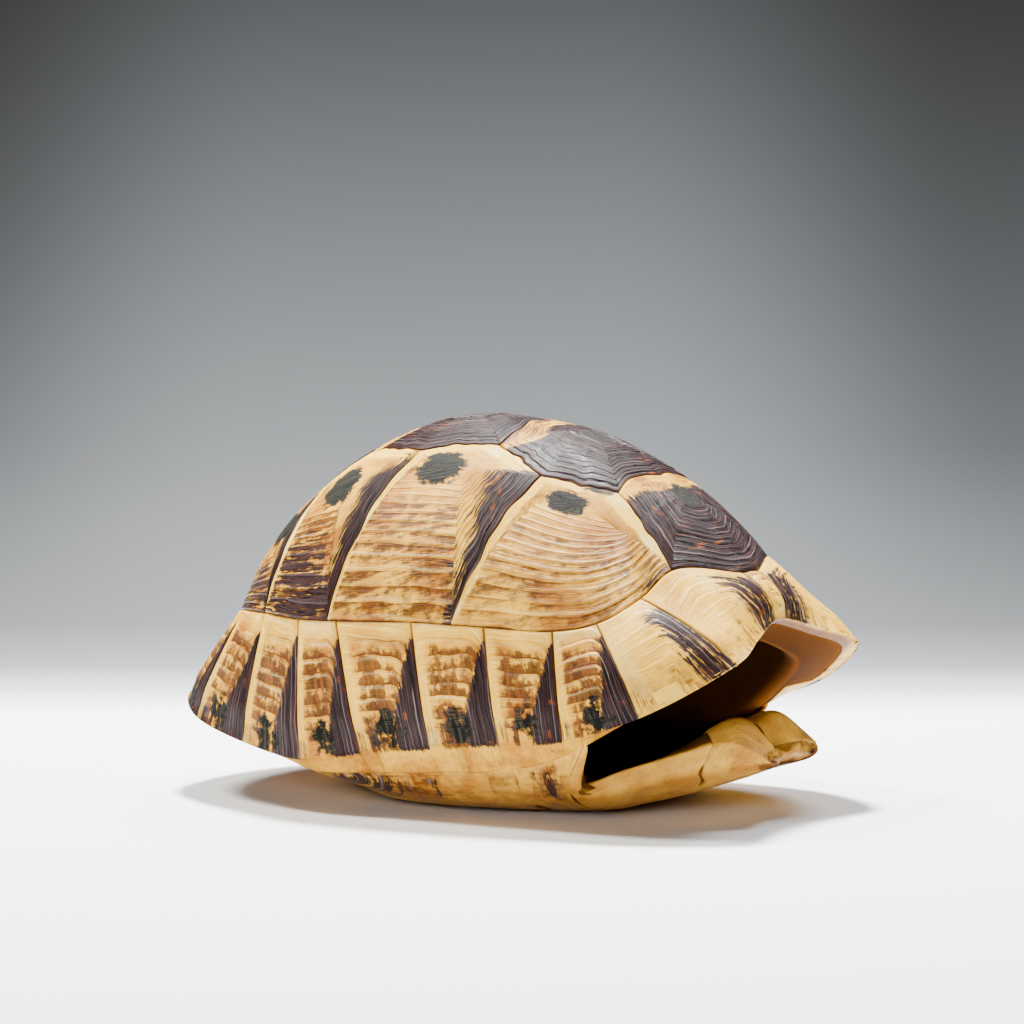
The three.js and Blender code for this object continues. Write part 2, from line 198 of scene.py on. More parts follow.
for name, spot, size, watts, colour in LIGHTS:
    data = bpy.data.lights.new(name, "AREA")
    data.shape = "RECTANGLE"
    data.size, data.size_y = size
    data.energy = watts
    data.color = linear(colour)[:3]
    light = bpy.data.objects.new(name, data)
    light.location = spot
    light.rotation_euler = (light.location - LIT_POINT).to_track_quat("Z", "Y").to_euler()
    bpy.context.collection.objects.link(light)

world = bpy.data.worlds.new("studio")
bpy.context.scene.world = world
world.use_nodes = True
plug(world.node_tree, world.node_tree.nodes["Background"],
     {"Color": "#DADCDE", "Strength": WORLD_STRENGTH})
print(len(LIGHTS), "lights")

# %% Studio sweep
away = Vector((-back.x, -back.y, 0)).normalized()


def studio_sweep(half_width=3.0, depth=0.36, bend=0.75, height=2.5, steps=24):
    """A floor that curves up into a wall behind the shell."""
    profile = [(-2.0, 0.0), (depth, 0.0)]
    for i in range(1, steps + 1):
        turn = math.pi / 2 * i / steps
        profile.append((depth + bend * math.sin(turn), bend * (1 - math.cos(turn))))
    profile.append((depth + bend, height))
    side = Vector((away.y, -away.x, 0))
    points = [away * reach + side * s * half_width + Vector((0, 0, rise))
              for reach, rise in profile for s in (-1, 1)]
    faces = [(2 * i, 2 * i + 1, 2 * i + 3, 2 * i + 2) for i in range(len(profile) - 1)]
    mesh = bpy.data.meshes.new("sweep")
    mesh.from_pydata(points, [], faces)
    mesh.shade_smooth()
    sweep = bpy.data.objects.new("sweep", mesh)
    bpy.context.collection.objects.link(sweep)
    return sweep


sweep = studio_sweep()

# Matt studio paper: it has no gloss at all. Its colour carries painted shade: white below and
# behind the shell, falling off to dark grey up the wall and to the sides, as under a lamp hood.
WALL_FROM, WALL_TO = 0.2, 1.0
WALL_SHADES = [(0.0, "#E8E9E9"), (0.1, "#9C9E9F"), (0.2, "#6C6E70"), (0.33, "#535557"),
               (0.5, "#4E5052"), (1.0, "#1F2021")]
SIDE_OFFSET, SIDE_FROM, SIDE_TO, SIDE_SHADE = 0.04, 0.08, 0.28, 0.62

paper, tree, shader, add = new_material("backdrop_paper")
place = add("Place")
falloff = add("Range", add("Dot", place, away), WALL_FROM, WALL_TO)
shades = add("ShaderNodeValToRGB", links={"Fac": falloff})["Color"]
stops = shades.socket.node.color_ramp.elements
for i, (stop, code) in enumerate(WALL_SHADES):
    band = stops[i] if i < 2 else stops.new(stop)
    band.position, band.color = stop, linear(code)
aside = add("Step", add("ABSOLUTE", add("Dot", place, right) + SIDE_OFFSET), SIDE_FROM, SIDE_TO)
aside = aside * add("Range", falloff, 0.1, 0.6, 0.0, SIDE_SHADE)
plug(tree, shader, {"Base Color": add("Mix", aside, shades, "#050505"),
                    "Roughness": 1.0, "Specular IOR Level": 0.1})
sweep.data.materials.append(paper)
print("sweep with", len(sweep.data.polygons), "faces")

# %% [markdown]
# ## The form of the shell
# Three loops carry the whole upper shell: the seam where the dome's scutes meet the marginal ones,
# the outer rim, and the rim's inner lip. The dome rises from the seam to the crown along circular
# arcs, and the marginals are the faces between the loops. The loops are smooth curves through a few
# stations, one at each place where two marginal scutes meet.
# Such a form could be sculpted, but a rule gives the solid and this model the same shape, and a
# scute can then be laid anywhere on it.

# %% Stations of the upper shell, in millimetres
SEAM = [(69.8, 0, 67.7), (69.5, 5, 67.5), (60.5, 29.5, 69.5), (56, 38.8, 62.3), (48.4, 50, 56),
        (37.5, 54.8, 54), (17.7, 58.2, 54.5), (-4.6, 60, 55), (-29, 60.4, 54.3), (-42.6, 58.6, 54),
        (-58, 52.5, 54.5), (-72, 42.5, 54), (-82.5, 28, 52), (-88.5, 11, 50), (-89, 0, 49.5)]
RIM = [(80.3, 0, 55.2), (80, 3.5, 55), (83, 20, 51), (86, 38.5, 46), (65.5, 57, 32),
       (44.5, 62, 25.4), (24.6, 62.8, 24), (2.6, 63, 21.5), (-20.4, 63, 18.6), (-40, 63.5, 15),
       (-63.2, 58, 17.8), (-87.5, 46.5, 22.5), (-101.5, 30, 26.5), (-106, 11, 25.5),
       (-106.5, 0, 25)]
LIP = [(69, 0, 49.2), (69, 4, 49), (72, 17, 45), (71, 32, 39.5), (58, 47, 30),
       (42, 56.5, 20), (24, 57.5, 15), (2.6, 57.5, 13), (-20, 57.5, 11.5), (-40, 57, 11),
       (-58, 50, 15.5), (-76, 40, 22), (-88, 26, 25), (-92, 10, 24.5), (-92.5, 0, 24)]
CROWN_X, CROWN_Z = -12, 109.7
HALF_X, HALF_Y = 76, 60
ARC_FRONT, ARC_SIDE, ARC_REAR = 42, 72, 58
BULGE, BULGE_FRONT = 0.5, 1.5
LOOP = 2 * (len(SEAM) - 1)
print(LOOP, "stations round the shell")

# %% Smooth curves through points


def spline(points, place, closed=False):
    """Centripetal Catmull-Rom curve. points is (n, 3), or (n, m, 3) for m curves at once."""
    points = np.asarray(points, float)
    place = np.asarray(place, float)
    count = len(points)
    if closed:
        first = np.floor(place).astype(int)
        picks = [(first + j) % count for j in (-1, 0, 1, 2)]
    else:
        first = np.clip(np.floor(place).astype(int), 0, count - 2)
        before, after = 2 * points[:1] - points[1:2], 2 * points[-1:] - points[-2:-1]
        points = np.concatenate([before, points, after])
        picks = [first + j + 1 for j in (-1, 0, 1, 2)]
    along = (place - first)[..., None]
    if points.ndim == 2:
        a, b, c, d = (points[pick] for pick in picks)
    else:
        lanes = np.arange(points.shape[1])
        a, b, c, d = (points[pick, lanes] for pick in picks)
    gaps = [np.sqrt(np.linalg.norm(q - p, axis=-1))[..., None] for p, q in ((a, b), (b, c), (c, d))]
    ab, bc, cd = gaps
    bc = np.where(bc < 1e-4, 1, bc)
    ab, cd = np.where(ab < 1e-4, bc, ab), np.where(cd < 1e-4, bc, cd)
    leave = ((b - a) / ab - (c - a) / (ab + bc) + (c - b) / bc) * bc
    arrive = ((c - b) / bc - (d - b) / (bc + cd) + (d - c) / cd) * bc
    return (b + leave * along + (3 * (c - b) - 2 * leave - arrive) * along ** 2
            + (2 * (b - c) + leave + arrive) * along ** 3)


def loop_through(stations):
    """A closed loop, down the right side and back up the left."""
    right_side = np.array(stations, float) * (1, -1, 1)
    left_side = right_side[1:-1][::-1] * (1, -1, 1)
    return np.concatenate([right_side, left_side])


seam_loop, rim_loop, lip_loop = map(loop_through, (SEAM, RIM, LIP))


def seam_at(k):
    return spline(seam_loop, k, closed=True)


def angle_of(point):
    """Angle round the crown, growing from the neck by the right side to the tail."""
    turn = -np.arctan2(point[..., 1] / HALF_Y, (point[..., 0] - CROWN_X) / HALF_X)
    return np.where(turn < -1e-9, turn + 2 * np.pi, np.abs(turn))


table_points = seam_at(np.arange(1440) * LOOP / 1440)
table_angles = np.append(angle_of(table_points), 2 * np.pi)
table_points = np.concatenate([table_points, table_points[:1]])
print("seam loop %.0f mm round" % np.linalg.norm(np.diff(table_points, axis=0), axis=1).sum())

# %% The dome and the marginal faces as surfaces


def dome(u, v):
    """A point of the dome over the unit disc, +u to the head and +v to the left."""
    u, v = np.asarray(u, float), np.asarray(v, float)
    reach = np.hypot(u, v)
    turn = -np.arctan2(v, u)
    turn = np.where(turn < 0, turn + 2 * np.pi, turn)
    seam = [np.interp(turn, table_angles, table_points[:, i]) for i in range(3)]
    end = np.where(np.cos(turn) > 0, ARC_FRONT, ARC_REAR)
    phi = np.radians(end + (ARC_SIDE - end) * np.sin(turn) ** 2)
    out = np.sin(reach * phi) / np.sin(phi)
    rise = (np.cos(reach * phi) - np.cos(phi)) / (1 - np.cos(phi))
    return np.stack([CROWN_X + out * (seam[0] - CROWN_X), out * seam[1],
                     seam[2] + (CROWN_Z - seam[2]) * rise], -1)


def margin(k, s):
    """Marginal face: 1 is the seam, 2 the rim, 3 the inner lip."""
    k, s = np.broadcast_arrays(np.asarray(k, float), np.asarray(s, float))
    seam, rim, lip = seam_at(k), spline(rim_loop, k, True), spline(lip_loop, k, True)
    outward = np.cross(seam_at(k + 0.01) - seam_at(k - 0.01), rim - seam)
    outward /= np.linalg.norm(outward, axis=-1, keepdims=True)
    bulge = BULGE + BULGE_FRONT * np.maximum(0, np.cos(2 * np.pi * k / LOOP))
    share = s[..., None]
    upper = seam + (rim - seam) * (share - 1)
    upper = upper + outward * (bulge * np.sin(np.pi * (s - 1)))[..., None]
    return np.where(share <= 2, upper, rim + (lip - rim) * (share - 2))


def disc_of(k):
    turn = angle_of(seam_at(k))
    return np.stack([np.cos(turn), -np.sin(turn)], -1)


def raised(surface, a, b, height):
    """Points of a surface moved out along its normal."""
    step = 1e-3
    along_a = surface(a + step, b) - surface(a - step, b)
    along_b = surface(a, b + step) - surface(a, b - step)
    normal = np.cross(along_a, along_b)
    normal /= np.linalg.norm(normal, axis=-1, keepdims=True) + 1e-12
    return surface(a, b) + normal * np.asarray(height)[..., None]


print("crown at", dome(0, 0), "neck seam at", dome(1, 0))

# %% [markdown]
# ## The plastron's form
# The underside is a shallow tray: a flat middle that the shell stands on, two lobes that curl up to
# the head and the tail, and two bridges that climb to the marginals. A grid of control points over
# the whole tray would be hard to read. It is lofted through half sections instead, each from the
# middle of the underside out to the edge and back over the inside, and mirrored.

# %% Sections of the plastron, in millimetres
SECTIONS = [
    [(78, 0, 14.5), (83, 8, 15), (84.5, 12, 16), (84, 15.5, 17), (83, 16.5, 18.5),
     (82, 9, 20), (76.5, 0, 18.5)],
    [(73, 0, 12.2), (74.5, 9, 12.5), (76, 16, 14), (75.5, 21.5, 17), (74, 21.5, 22),
     (72.5, 11, 27.5), (71, 0, 25)],
    [(61, 0, 7.8), (62, 12, 8), (63.5, 20, 10), (63.5, 27.5, 14), (62, 27, 18.5),
     (59, 13, 21), (57, 0, 19.5)],
    [(51, 0, 4.3), (51, 14, 4.8), (51.5, 27, 7.5), (51.5, 35, 10.5), (50, 34.5, 14.5),
     (47, 20, 12), (46, 0, 10)],
    [(42, 0, 2), (42, 18, 2.4), (42.5, 33, 4.5), (41.5, 43.5, 8), (40.5, 45, 11),
     (40, 34, 9.5), (41, 0, 7.8)],
    [(38, 0, 1), (38, 17, 1.2), (39, 36, 4.8), (41.5, 49, 12), (48, 56, 24.5),
     (40, 48, 16), (37, 0, 7)],
    [(30, 0, 0), (30, 17, 0), (31, 41, 5.5), (31, 55.5, 14.5), (31, 57.5, 20.5),
     (30, 49, 12.5), (30, 0, 6)],
    [(-5, 0, 0), (-5, 27, 0), (-5, 46, 4.5), (-5, 56, 12), (-5, 57.5, 18),
     (-5, 49.5, 11.5), (-5, 0, 5.5)],
    [(-30, 0, 0), (-30, 24, 0), (-30, 42, 5), (-30, 55, 10.8), (-30, 57, 16.5),
     (-30, 49.5, 11.5), (-30, 0, 5.5)],
    [(-39, 0, 0.2), (-39, 18, 0.6), (-39, 38, 7), (-40, 54.5, 11.2), (-40, 56.5, 16),
     (-39, 48.5, 12.5), (-39, 0, 5.8)],
    [(-46, 0, 0.5), (-46, 16, 1.5), (-47, 32, 7.5), (-48, 47.5, 12.2), (-47.5, 51, 16.5),
     (-46, 44, 14), (-45, 0, 6.3)],
    [(-53, 0, 1), (-53, 14, 2.7), (-53.5, 28, 8.5), (-54, 36.5, 12.2), (-53.5, 36.5, 15.5),
     (-53, 26, 13), (-53, 0, 7.5)],
    [(-66, 0, 3.2), (-66, 13, 6), (-67, 21.5, 9.7), (-67.5, 28, 12.8), (-67, 27.5, 15.7),
     (-66, 19, 13.5), (-66, 0, 10)],
    [(-73, 0, 5.8), (-76, 10, 8.5), (-78, 16, 11), (-79, 20.5, 13.2), (-78.5, 20, 15.4),
     (-76, 11, 13.8), (-72, 0, 11.5)],
    [(-75, 0, 7), (-81.5, 9, 10.2), (-83.5, 13, 11.6), (-83.5, 16.5, 12.8), (-82.5, 16, 14.6),
     (-80.5, 9, 13.8), (-74.5, 0, 11.5)],
]
EDGE = 4
sections = np.array(SECTIONS, float)


def plastron(p, q):
    """p counts sections rearward; q runs -1 to 1 below, from the right, and on to 3 inside."""
    p, q = np.broadcast_arrays(np.asarray(p, float), np.asarray(q, float))
    shape = p.shape
    p, q = p.ravel(), (q.ravel() + 1 + 1e-9) % 4 - 1
    half = np.stack([spline(sections[:, i], p) for i in range(sections.shape[1])])
    under = np.abs(q) <= 1
    across = np.where(under, q, 2 - q)
    flip = np.array((1, -1, 1))
    outside = np.concatenate([half[1:2] * flip, half[:EDGE + 1]])
    inside = np.concatenate([half[-2:-1] * flip, half[EDGE:][::-1]])
    low = spline(outside, 1 + np.abs(across) * EDGE)
    high = spline(inside, 1 + np.abs(across) * (len(inside) - 2))
    low[:, 2] = np.maximum(np.maximum(low[:, 2], half[0][:, 2]), 0)
    point = np.where(under[:, None], low, high)
    point[:, 1] = np.abs(point[:, 1]) * np.sign(across)
    return point.reshape(shape + (3,))


rim_x = spline(rim_loop, np.arange(0, LOOP, 0.05), True)[:, 0]
SHIFT = np.array([-(rim_x.min() + rim_x.max()) / 2, 0, 0.5])
print("shift into the frame, mm:", SHIFT.round(2))

# %% [markdown]
# ## Building a plate
# A scute is a thin closed plate. Seams could be grooves pressed into one big skin, but they would
# need a very fine mesh everywhere to look crisp. So each scute is its own plate: its top is a sheet
# of points that rounds down into the seam, and its back lies a millimetre into the bone. Every
# point keeps the measures that the rings and the horn are made from: the ring it belongs to, how
# wide the rings are there, how much pigment the animal laid down and how much painted shade it gets.

# %% Mesh helper
GROOVE = 0.9
EDGE_BAND = 1.3
PLATE_BACK = 1.0
SEED_STEP = 37.0
MEASURES = ("fade", "pitch", "dark", "warm", "moss", "pale", "seam", "under")


def smooth(low, high, value):
    x = np.clip((np.asarray(value, float) - low) / (high - low), 0, 1)
    return x * x * (3 - 2 * x)


class Plates:
    """Collects closed plates and turns them into one mesh with its measures as attributes."""

    def __init__(self):
        self.points, self.faces, self.measures, self.rings = [], [], [], []
        self.count = 0
        self.sealed = 0

    def add_points(self, points, rings=np.zeros(3), **measures):
        points = points.reshape(-1, 3)
        self.points.append(points)
        self.rings.append(np.broadcast_to(rings.reshape(-1, 3), points.shape))
        columns = (np.ravel(measures.get(name, 0.0)) for name in MEASURES)
        self.measures.append(np.stack([np.broadcast_to(c, len(points)) for c in columns], -1))
        start = self.count
        self.count += len(points)
        return np.arange(start, self.count)

    def sheet(self, ids, closed):
        """Quads over a grid of point numbers; closed joins the last column to the first."""
        if closed:
            ids = np.concatenate([ids, ids[:, :1]], 1)
        quads = np.stack([ids[:-1, :-1], ids[1:, :-1], ids[1:, 1:], ids[:-1, 1:]], -1)
        self.faces.append(quads.reshape(-1, 4))

    def fan(self, hub, loop, turned=False):
        """Triangles, written as quads whose last two corners are one."""
        nxt = np.roll(loop, -1)
        hubs = np.full(len(loop), hub)
        tri = np.stack((hubs, nxt, loop) if turned else (hubs, loop, nxt), -1)
        self.faces.append(np.concatenate([tri, tri[:, -1:]], 1))

    def seal(self):
        """Ends a plate: turns its faces outward if its volume came out negative."""
        quads = np.concatenate(self.faces[self.sealed:])
        a, b, c, d = np.concatenate(self.points)[quads].transpose(1, 0, 2)
        volume = np.sum(a * (np.cross(b, c) + np.cross(c, d))) / 6
        if volume < 0:
            is_tri = (quads[:, 2] == quads[:, 3])[:, None]
            quads = np.where(is_tri, quads[:, [0, 2, 1, 1]], quads[:, ::-1])
        self.faces[self.sealed:] = [quads]
        self.sealed += 1

    def mesh(self, name):
        points = (np.concatenate(self.points) + SHIFT) * MM
        quads = np.concatenate(self.faces)
        heads, tails = quads, np.roll(quads, -1, 1)
        real = heads != tails
        forward = heads[real] * len(points) + tails[real]
        reverse = tails[real] * len(points) + heads[real]
        mesh = bpy.data.meshes.new(name)
        mesh.from_pydata(points, [], [tuple(dict.fromkeys(quad)) for quad in quads.tolist()])
        mesh.shade_smooth()
        measures = np.concatenate(self.measures)
        for i, label in enumerate(MEASURES):
            layer = mesh.attributes.new(label, "FLOAT", "POINT")
            layer.data.foreach_set("value", measures[:, i].astype(np.float32))
        layer = mesh.attributes.new("rings", "FLOAT_VECTOR", "POINT")
        layer.data.foreach_set("vector", np.concatenate(self.rings).astype(np.float32).ravel())
        open_edges = len(np.setdiff1d(forward, reverse))
        print(name, self.sealed, "closed forms,", open_edges, "open edges,",
              int(real.sum() - 2 * len(quads)), "triangles")
        return mesh


print("measures of a point:", *MEASURES)

# %% Rings and edges


def year_of(growth, years, widening):
    """The ring number at a share of the growth; the later rings are wider."""
    return years * np.log1p(widening * growth) / np.log1p(widening)


def ring_width(growth, years, widening, reach):
    return reach * (1 + widening * growth) * np.log1p(widening) / (widening * years)


def edge_profile(gap):
    """The share of its lift that a plate has at a distance from its edge: a quarter round."""
    return np.sqrt(np.clip(1 - (1 - np.clip(gap / GROOVE, 0, 1)) ** 2, 0, 1))


print("0.2 mm from its edge a plate has %.2f of its lift" % edge_profile(0.2))

# %% [markdown]
# ## The seams of the dome
# Five scutes lie along the spine and four on each flank, and their seams meet three by three. They
# could be drawn point by point. Here the corners are places on a flat disc that is wrapped over the
# dome, so a few pairs of numbers say it all. A real seam is never quite straight, so each one
# wavers a little. It is always worked out in one direction, so the scutes on both sides of it fit.

# %% Outlines on the dome
CORNER = {"v1v2": (0.595, -0.33), "v2c1": (0.32, -0.392), "v2v3": (0.147, -0.309),
          "v3c2": (-0.083, -0.372), "v3v4": (-0.3, -0.28), "v4c3": (-0.445, -0.345),
          "v4v5": (-0.62, -0.24)}
RING = {"v1c1": 2, "c1c2": 6.45, "c2c3": 8.2, "c3c4": 10, "c4v5": 12.3}
OUTLINE_STEP = 1.0
WAVE = 0.0045


def mirrored(points):
    return points * np.array((1, -1))


def seam_line(start, end):
    """A seam between two scutes of the dome: nearly straight, and the same from both sides."""
    start, end = np.array(start, float), np.array(end, float)
    if start[1] + end[1] > 1e-6:
        return mirrored(seam_line(mirrored(start), mirrored(end)))
    if tuple(start) > tuple(end):
        turned = seam_line(end, start)
        return np.concatenate([start[None], turned[:0:-1]])
    length = np.linalg.norm(dome(*start) - dome(*end))
    share = np.linspace(0, 1, max(2, int(length / OUTLINE_STEP)) + 1)[:-1, None]
    side = np.array([start[1] - end[1], end[0] - start[0]]) / np.linalg.norm(end - start)
    phase = 40 * (start[0] + end[1])
    wave = np.sin(11 * share + phase) + 0.7 * np.sin(25 * share + 3 * phase)
    return start + (end - start) * share + side * wave * np.sin(np.pi * share) * WAVE


def ring_line(start, end):
    """A stretch of the seam with the marginals, as disc points."""
    length = abs(end - start) * 15
    return disc_of(np.linspace(start, end, max(2, int(length / OUTLINE_STEP)) + 1)[:-1])


def outline_of(sides):
    """Joins sides into one outline; keeps each point's side number and its place along it."""
    number = np.concatenate([np.full(len(side), i) for i, side in enumerate(sides)])
    along = np.concatenate([np.arange(len(side)) / len(side) for side in sides])
    return np.concatenate(sides), number, along


def near(points, chosen, blend):
    """1 on the chosen points of an outline, falling to 0 over some millimetres past them."""
    place = dome(points[:, 0], points[:, 1])
    gap = np.linalg.norm(place[:, None] - place[None, chosen], axis=-1).min(1)
    return smooth(0, 1, np.clip(1 - gap / blend, 0, 1))


print("points on the seam over the neck:", len(ring_line(-2, 2)))

# %% [markdown]
# ## A scute of the dome
# A scute swells from its seams to its first plate. It could be a grid cut to the outline, but rings
# of points that shrink from the outline to the first plate follow the growth, so that a ledge runs
# along a row of faces and stays crisp with fewer of them.

# %% A scute of the dome
DOME_LIFT, DOME_FALL = 1.5, 0.75


def dome_plate(plates, outline, hub, seed, layers, years, widening, spot, slim, stretch, paint):
    """Rings of points from the hub out to the outline, rounded at the edge, closed at the back.

    The first plate is not a point: spot is its reach in millimetres, slim narrows it, and stretch
    is the length of the innermost ring to the head and tail, as a share of the scute's. paint holds
    a number, or an array for the outline's points, for each of: the band, its start and its slope,
    the flame and its start, the brown sector and its end, and the start of the pale strip."""
    paint = {key: np.broadcast_to(value, len(outline)) for key, value in paint.items()}
    ahead = np.roll(outline, -1, 0)
    if np.sum(outline[:, 0] * ahead[:, 1] - ahead[:, 0] * outline[:, 1]) < 0:
        outline = outline[::-1]
        paint = {key: value[::-1] for key, value in paint.items()}
    hub = np.array(hub, float)
    edge = dome(outline[:, 0], outline[:, 1])
    reach = np.linalg.norm(edge - dome(*hub), axis=1)
    around = np.concatenate([[0], np.cumsum(np.linalg.norm(np.diff(edge, axis=0), axis=1))])
    inner = np.linspace(0, 1, layers)[1:, None] * (1 - EDGE_BAND / reach)[None]
    rounding = 1 - np.array([1.0, 0.75, 0.5, 0.3, 0.15, 0.05, 0.0])[:, None] / reach[None]
    share = np.concatenate([inner, rounding])
    gap = (1 - share) * reach
    body = DOME_LIFT - DOME_FALL * smooth(0.1, 1, share)
    lift = body * edge_profile(gap)
    stretched = share + stretch * (1 - share) * smooth(-0.05, 0.12, share)
    a = hub[0] + (outline[:, 0] - hub[0]) * stretched
    b = hub[1] + (outline[:, 1] - hub[1]) * share
    top = raised(dome, a, b, lift)
    from_hub = top - raised(dome, hub[0], hub[1], body[0, 0])
    from_hub = np.linalg.norm(from_hub * np.array((slim, 1, 1)), axis=-1)
    rings = np.stack([around * (0.3 + 0.7 * share), year_of(share, years, widening),
                      np.full(share.shape, seed * SEED_STEP)], -1)
    measures = {
        "fade": smooth(spot * 0.8, spot * 1.4, from_hub) * smooth(0.2, 1.3, gap),
        "pitch": ring_width(share, years, widening, reach[None]) * 0.9,
        "dark": paint["band"] * np.clip(0.5 + (share - paint["band_start"]) * paint["slope"], 0, 1)
        * (1 - paint["flame"] * smooth(paint["flame_start"], paint["flame_start"] + 0.2, share)),
        "warm": paint["brown"] * smooth(0.12, 0.35, share)
        * (1 - smooth(paint["brown_end"] - 0.07, paint["brown_end"] + 0.07, share)),
        "moss": np.clip(1.5 - from_hub / spot, 0, 1),
        "pale": smooth(paint["pale_start"] - 0.08, paint["pale_start"] + 0.08, share),
        "seam": 1 - smooth(0.1, 0.8, gap),
    }
    ids = plates.add_points(top, rings, **measures).reshape(share.shape)
    centre = raised(dome, hub[0], hub[1], body[0, 0])
    hub_id = plates.add_points(centre, np.array([0, 0, seed * SEED_STEP]), pitch=1.0, moss=1.0,
                               dark=measures["dark"][0].mean())[0]
    plates.fan(hub_id, ids[0])
    plates.sheet(ids, True)
    below = [ids[-1]]
    for part in (1.0, 0.6, 0.25):
        a, b = (hub + (outline - hub) * part).T
        level = np.full(len(a), -PLATE_BACK)
        below.append(plates.add_points(raised(dome, a, b, level), rings[-1], seam=1.0))
    plates.sheet(np.stack(below), True)
    tail = plates.add_points(raised(dome, hub[0], hub[1], -PLATE_BACK))[0]
    plates.fan(tail, below[-1], turned=True)
    plates.seal()


print("a scute stands %.2f mm high at its middle" % DOME_LIFT)

# %% [markdown]
# ## Where the pigment goes
# The animal lays pigment down in sectors: a green-black first plate in the middle of each scute, a
# broad purple-black band along the front seam, yellow along the rear one, and brown clouds between.
# Painting it by hand would fit one shell only. A rule for each side of the outline gives the same
# pattern at any size. The spine scutes are nearly all dark, with a yellow flame toward their rear
# seam.

# %% The four scutes of a flank
COSTAL_HUBS = [(0.44, -0.452), (0.024, -0.475), (-0.303, -0.485), (-0.56, -0.5)]
COSTAL_TOPS = [("v2c1", "v1v2"), ("v3c2", "v2v3", "v2c1"), ("v4c3", "v3v4", "v3c2"),
               ("v4v5", "v4c3")]
COSTAL_RINGS = (90, 15, 1.6)  # rings of points, years, and how much wider the last years are
COSTAL_STRETCH = 0.36
COSTAL_SPOTS = [4.6, 7.2, 8.2, 6.0]
COSTAL_SLIM = [0.75, 1.0, 1.35, 1.2]
COSTAL_BANDS = [0.0, 0.92, 1.0, 1.0]
FOOT_BROWN = [0.55, 0.8, 1.0, 1.0]
BAND_START_TOP = [0.5, 0.3, 0.34, 0.3]
BAND_START_FOOT = [0.5, 0.74, 0.66, 0.6]


def costal_plates(plates, side):
    """side is -1 for the right flank and 1 for the left."""
    feet = [RING["v1c1"], RING["c1c2"], RING["c2c3"], RING["c3c4"], RING["c4v5"]]
    for i, names in enumerate(COSTAL_TOPS):
        corners = [np.array(CORNER[name]) for name in names]
        chain = [disc_of(feet[i + 1]), *corners, disc_of(feet[i])]
        sides = [ring_line(feet[i], feet[i + 1])]
        sides += [seam_line(chain[j], chain[j + 1]) for j in range(len(chain) - 1)]
        points, number, along = outline_of(sides)
        front = len(sides) - 1
        height = dome(points[:, 0], points[:, 1])[:, 2]
        rise = (height - height.min()) / (height.max() - height.min())
        foot, rear = near(points, number == 0, 7), near(points, number == 1, 3)
        band = COSTAL_BANDS[i] * near(points, number == front, 6)
        later = BAND_START_TOP[i] - BAND_START_FOOT[i]
        paint = {
            "band": band * (1 - 0.5 * smooth(0.8, 1.0, rise)),
            "band_start": BAND_START_FOOT[i] + later * smooth(0, 0.75, rise),
            "brown": np.maximum(FOOT_BROWN[i] * foot, 0.6 * rear),
            "brown_end": np.where(number == 0, 1.2, np.where(number == 1, 0.64, 0.78)),
            "pale_start": np.where(number == 0, 1.2, np.where(number == 1, 0.56, 0.66)),
            "flame": 0,
            "flame_start": 1,
            "slope": 1.5,
        }
        # A painted shadow: on the two rear costals the dark band also runs along the foot, by the
        # marginals.
        if i > 1:
            shadow = 0.62 * near(points, number == 0, 5)
            paint["band_start"] = np.where(shadow > paint["band"], 0.3, paint["band_start"])
            paint["band"] = np.maximum(paint["band"], shadow)
        if i == 0:
            corner = near(points, (number == 0) & (along < 0.2), 4)
            crest = near(points, (number == 2) & (along > 0.55), 3)
            paint["band"] = np.maximum(0.85 * corner, 0.72 * crest)
            paint["band_start"] = np.where(corner > crest, 0.9, 0.55)
            paint["pale_start"] = np.where(number == 0, 1.2, 0.6)
        if side > 0:
            points = mirrored(points)
        hub = (COSTAL_HUBS[i][0], -side * COSTAL_HUBS[i][1])
        dome_plate(plates, points, hub, i + 1 + 10 * (side > 0), *COSTAL_RINGS,
                   COSTAL_SPOTS[i], COSTAL_SLIM[i], COSTAL_STRETCH, paint)


print(len(COSTAL_HUBS), "scutes on a flank")

# %% The five scutes of the spine
SPINE_HUBS = [(0.71, 0.0), (0.37, 0.0), (-0.07, 0.0), (-0.46, 0.0), (-0.76, 0.0)]
SPINE_RINGS = (66, 17, 0.5)
SPINE_SPOT = 5.0


def vertebral_plates(plates):
    c = {key: np.array(value) for key, value in CORNER.items()}

    def sides_through(names):
        loop = [c[n] for n in names] + [mirrored(c[n]) for n in names[::-1]]
        return [seam_line(loop[j], loop[(j + 1) % len(loop)]) for j in range(len(loop))]

    def end_scute(start, end, first, last):
        """The scute at the neck or the tail: one side is on the seam with the marginals."""
        return [ring_line(start, end), seam_line(disc_of(end), first),
                seam_line(first, last), seam_line(last, disc_of(start))]

    neck, tail = RING["v1c1"], RING["c4v5"]
    scutes = [end_scute(-neck, neck, c["v1v2"], mirrored(c["v1v2"])),
              sides_through(("v1v2", "v2c1", "v2v3")),
              sides_through(("v2v3", "v3c2", "v3v4")),
              sides_through(("v3v4", "v4c3", "v4v5")),
              end_scute(tail, LOOP - tail, mirrored(c["v4v5"]), c["v4v5"])]
    for i, (sides, hub) in enumerate(zip(scutes, SPINE_HUBS)):
        points, number, along = outline_of(sides)
        flame = near(points, number == 2, 7 if i == 0 else 4)
        if i in (1, 2):
            corner = near(points, (number == 1) & (along > 0.85), 2)
            flame = np.maximum(0.6 * near(points, number == 2, 2), corner)
        paint = {
            "band": 1,
            "band_start": -1,
            "flame": 0.9 * flame,
            "flame_start": 0.2 if i == 0 else 0.45,
            "brown": 0.5 * flame,
            "brown_end": 0.6,
            "pale_start": 1.2,
            "slope": 3,
        }
        dome_plate(plates, points, hub, 21 + i, *SPINE_RINGS, SPINE_SPOT, 1.0, 0.0, paint)


print(len(SPINE_HUBS), "scutes on the spine")

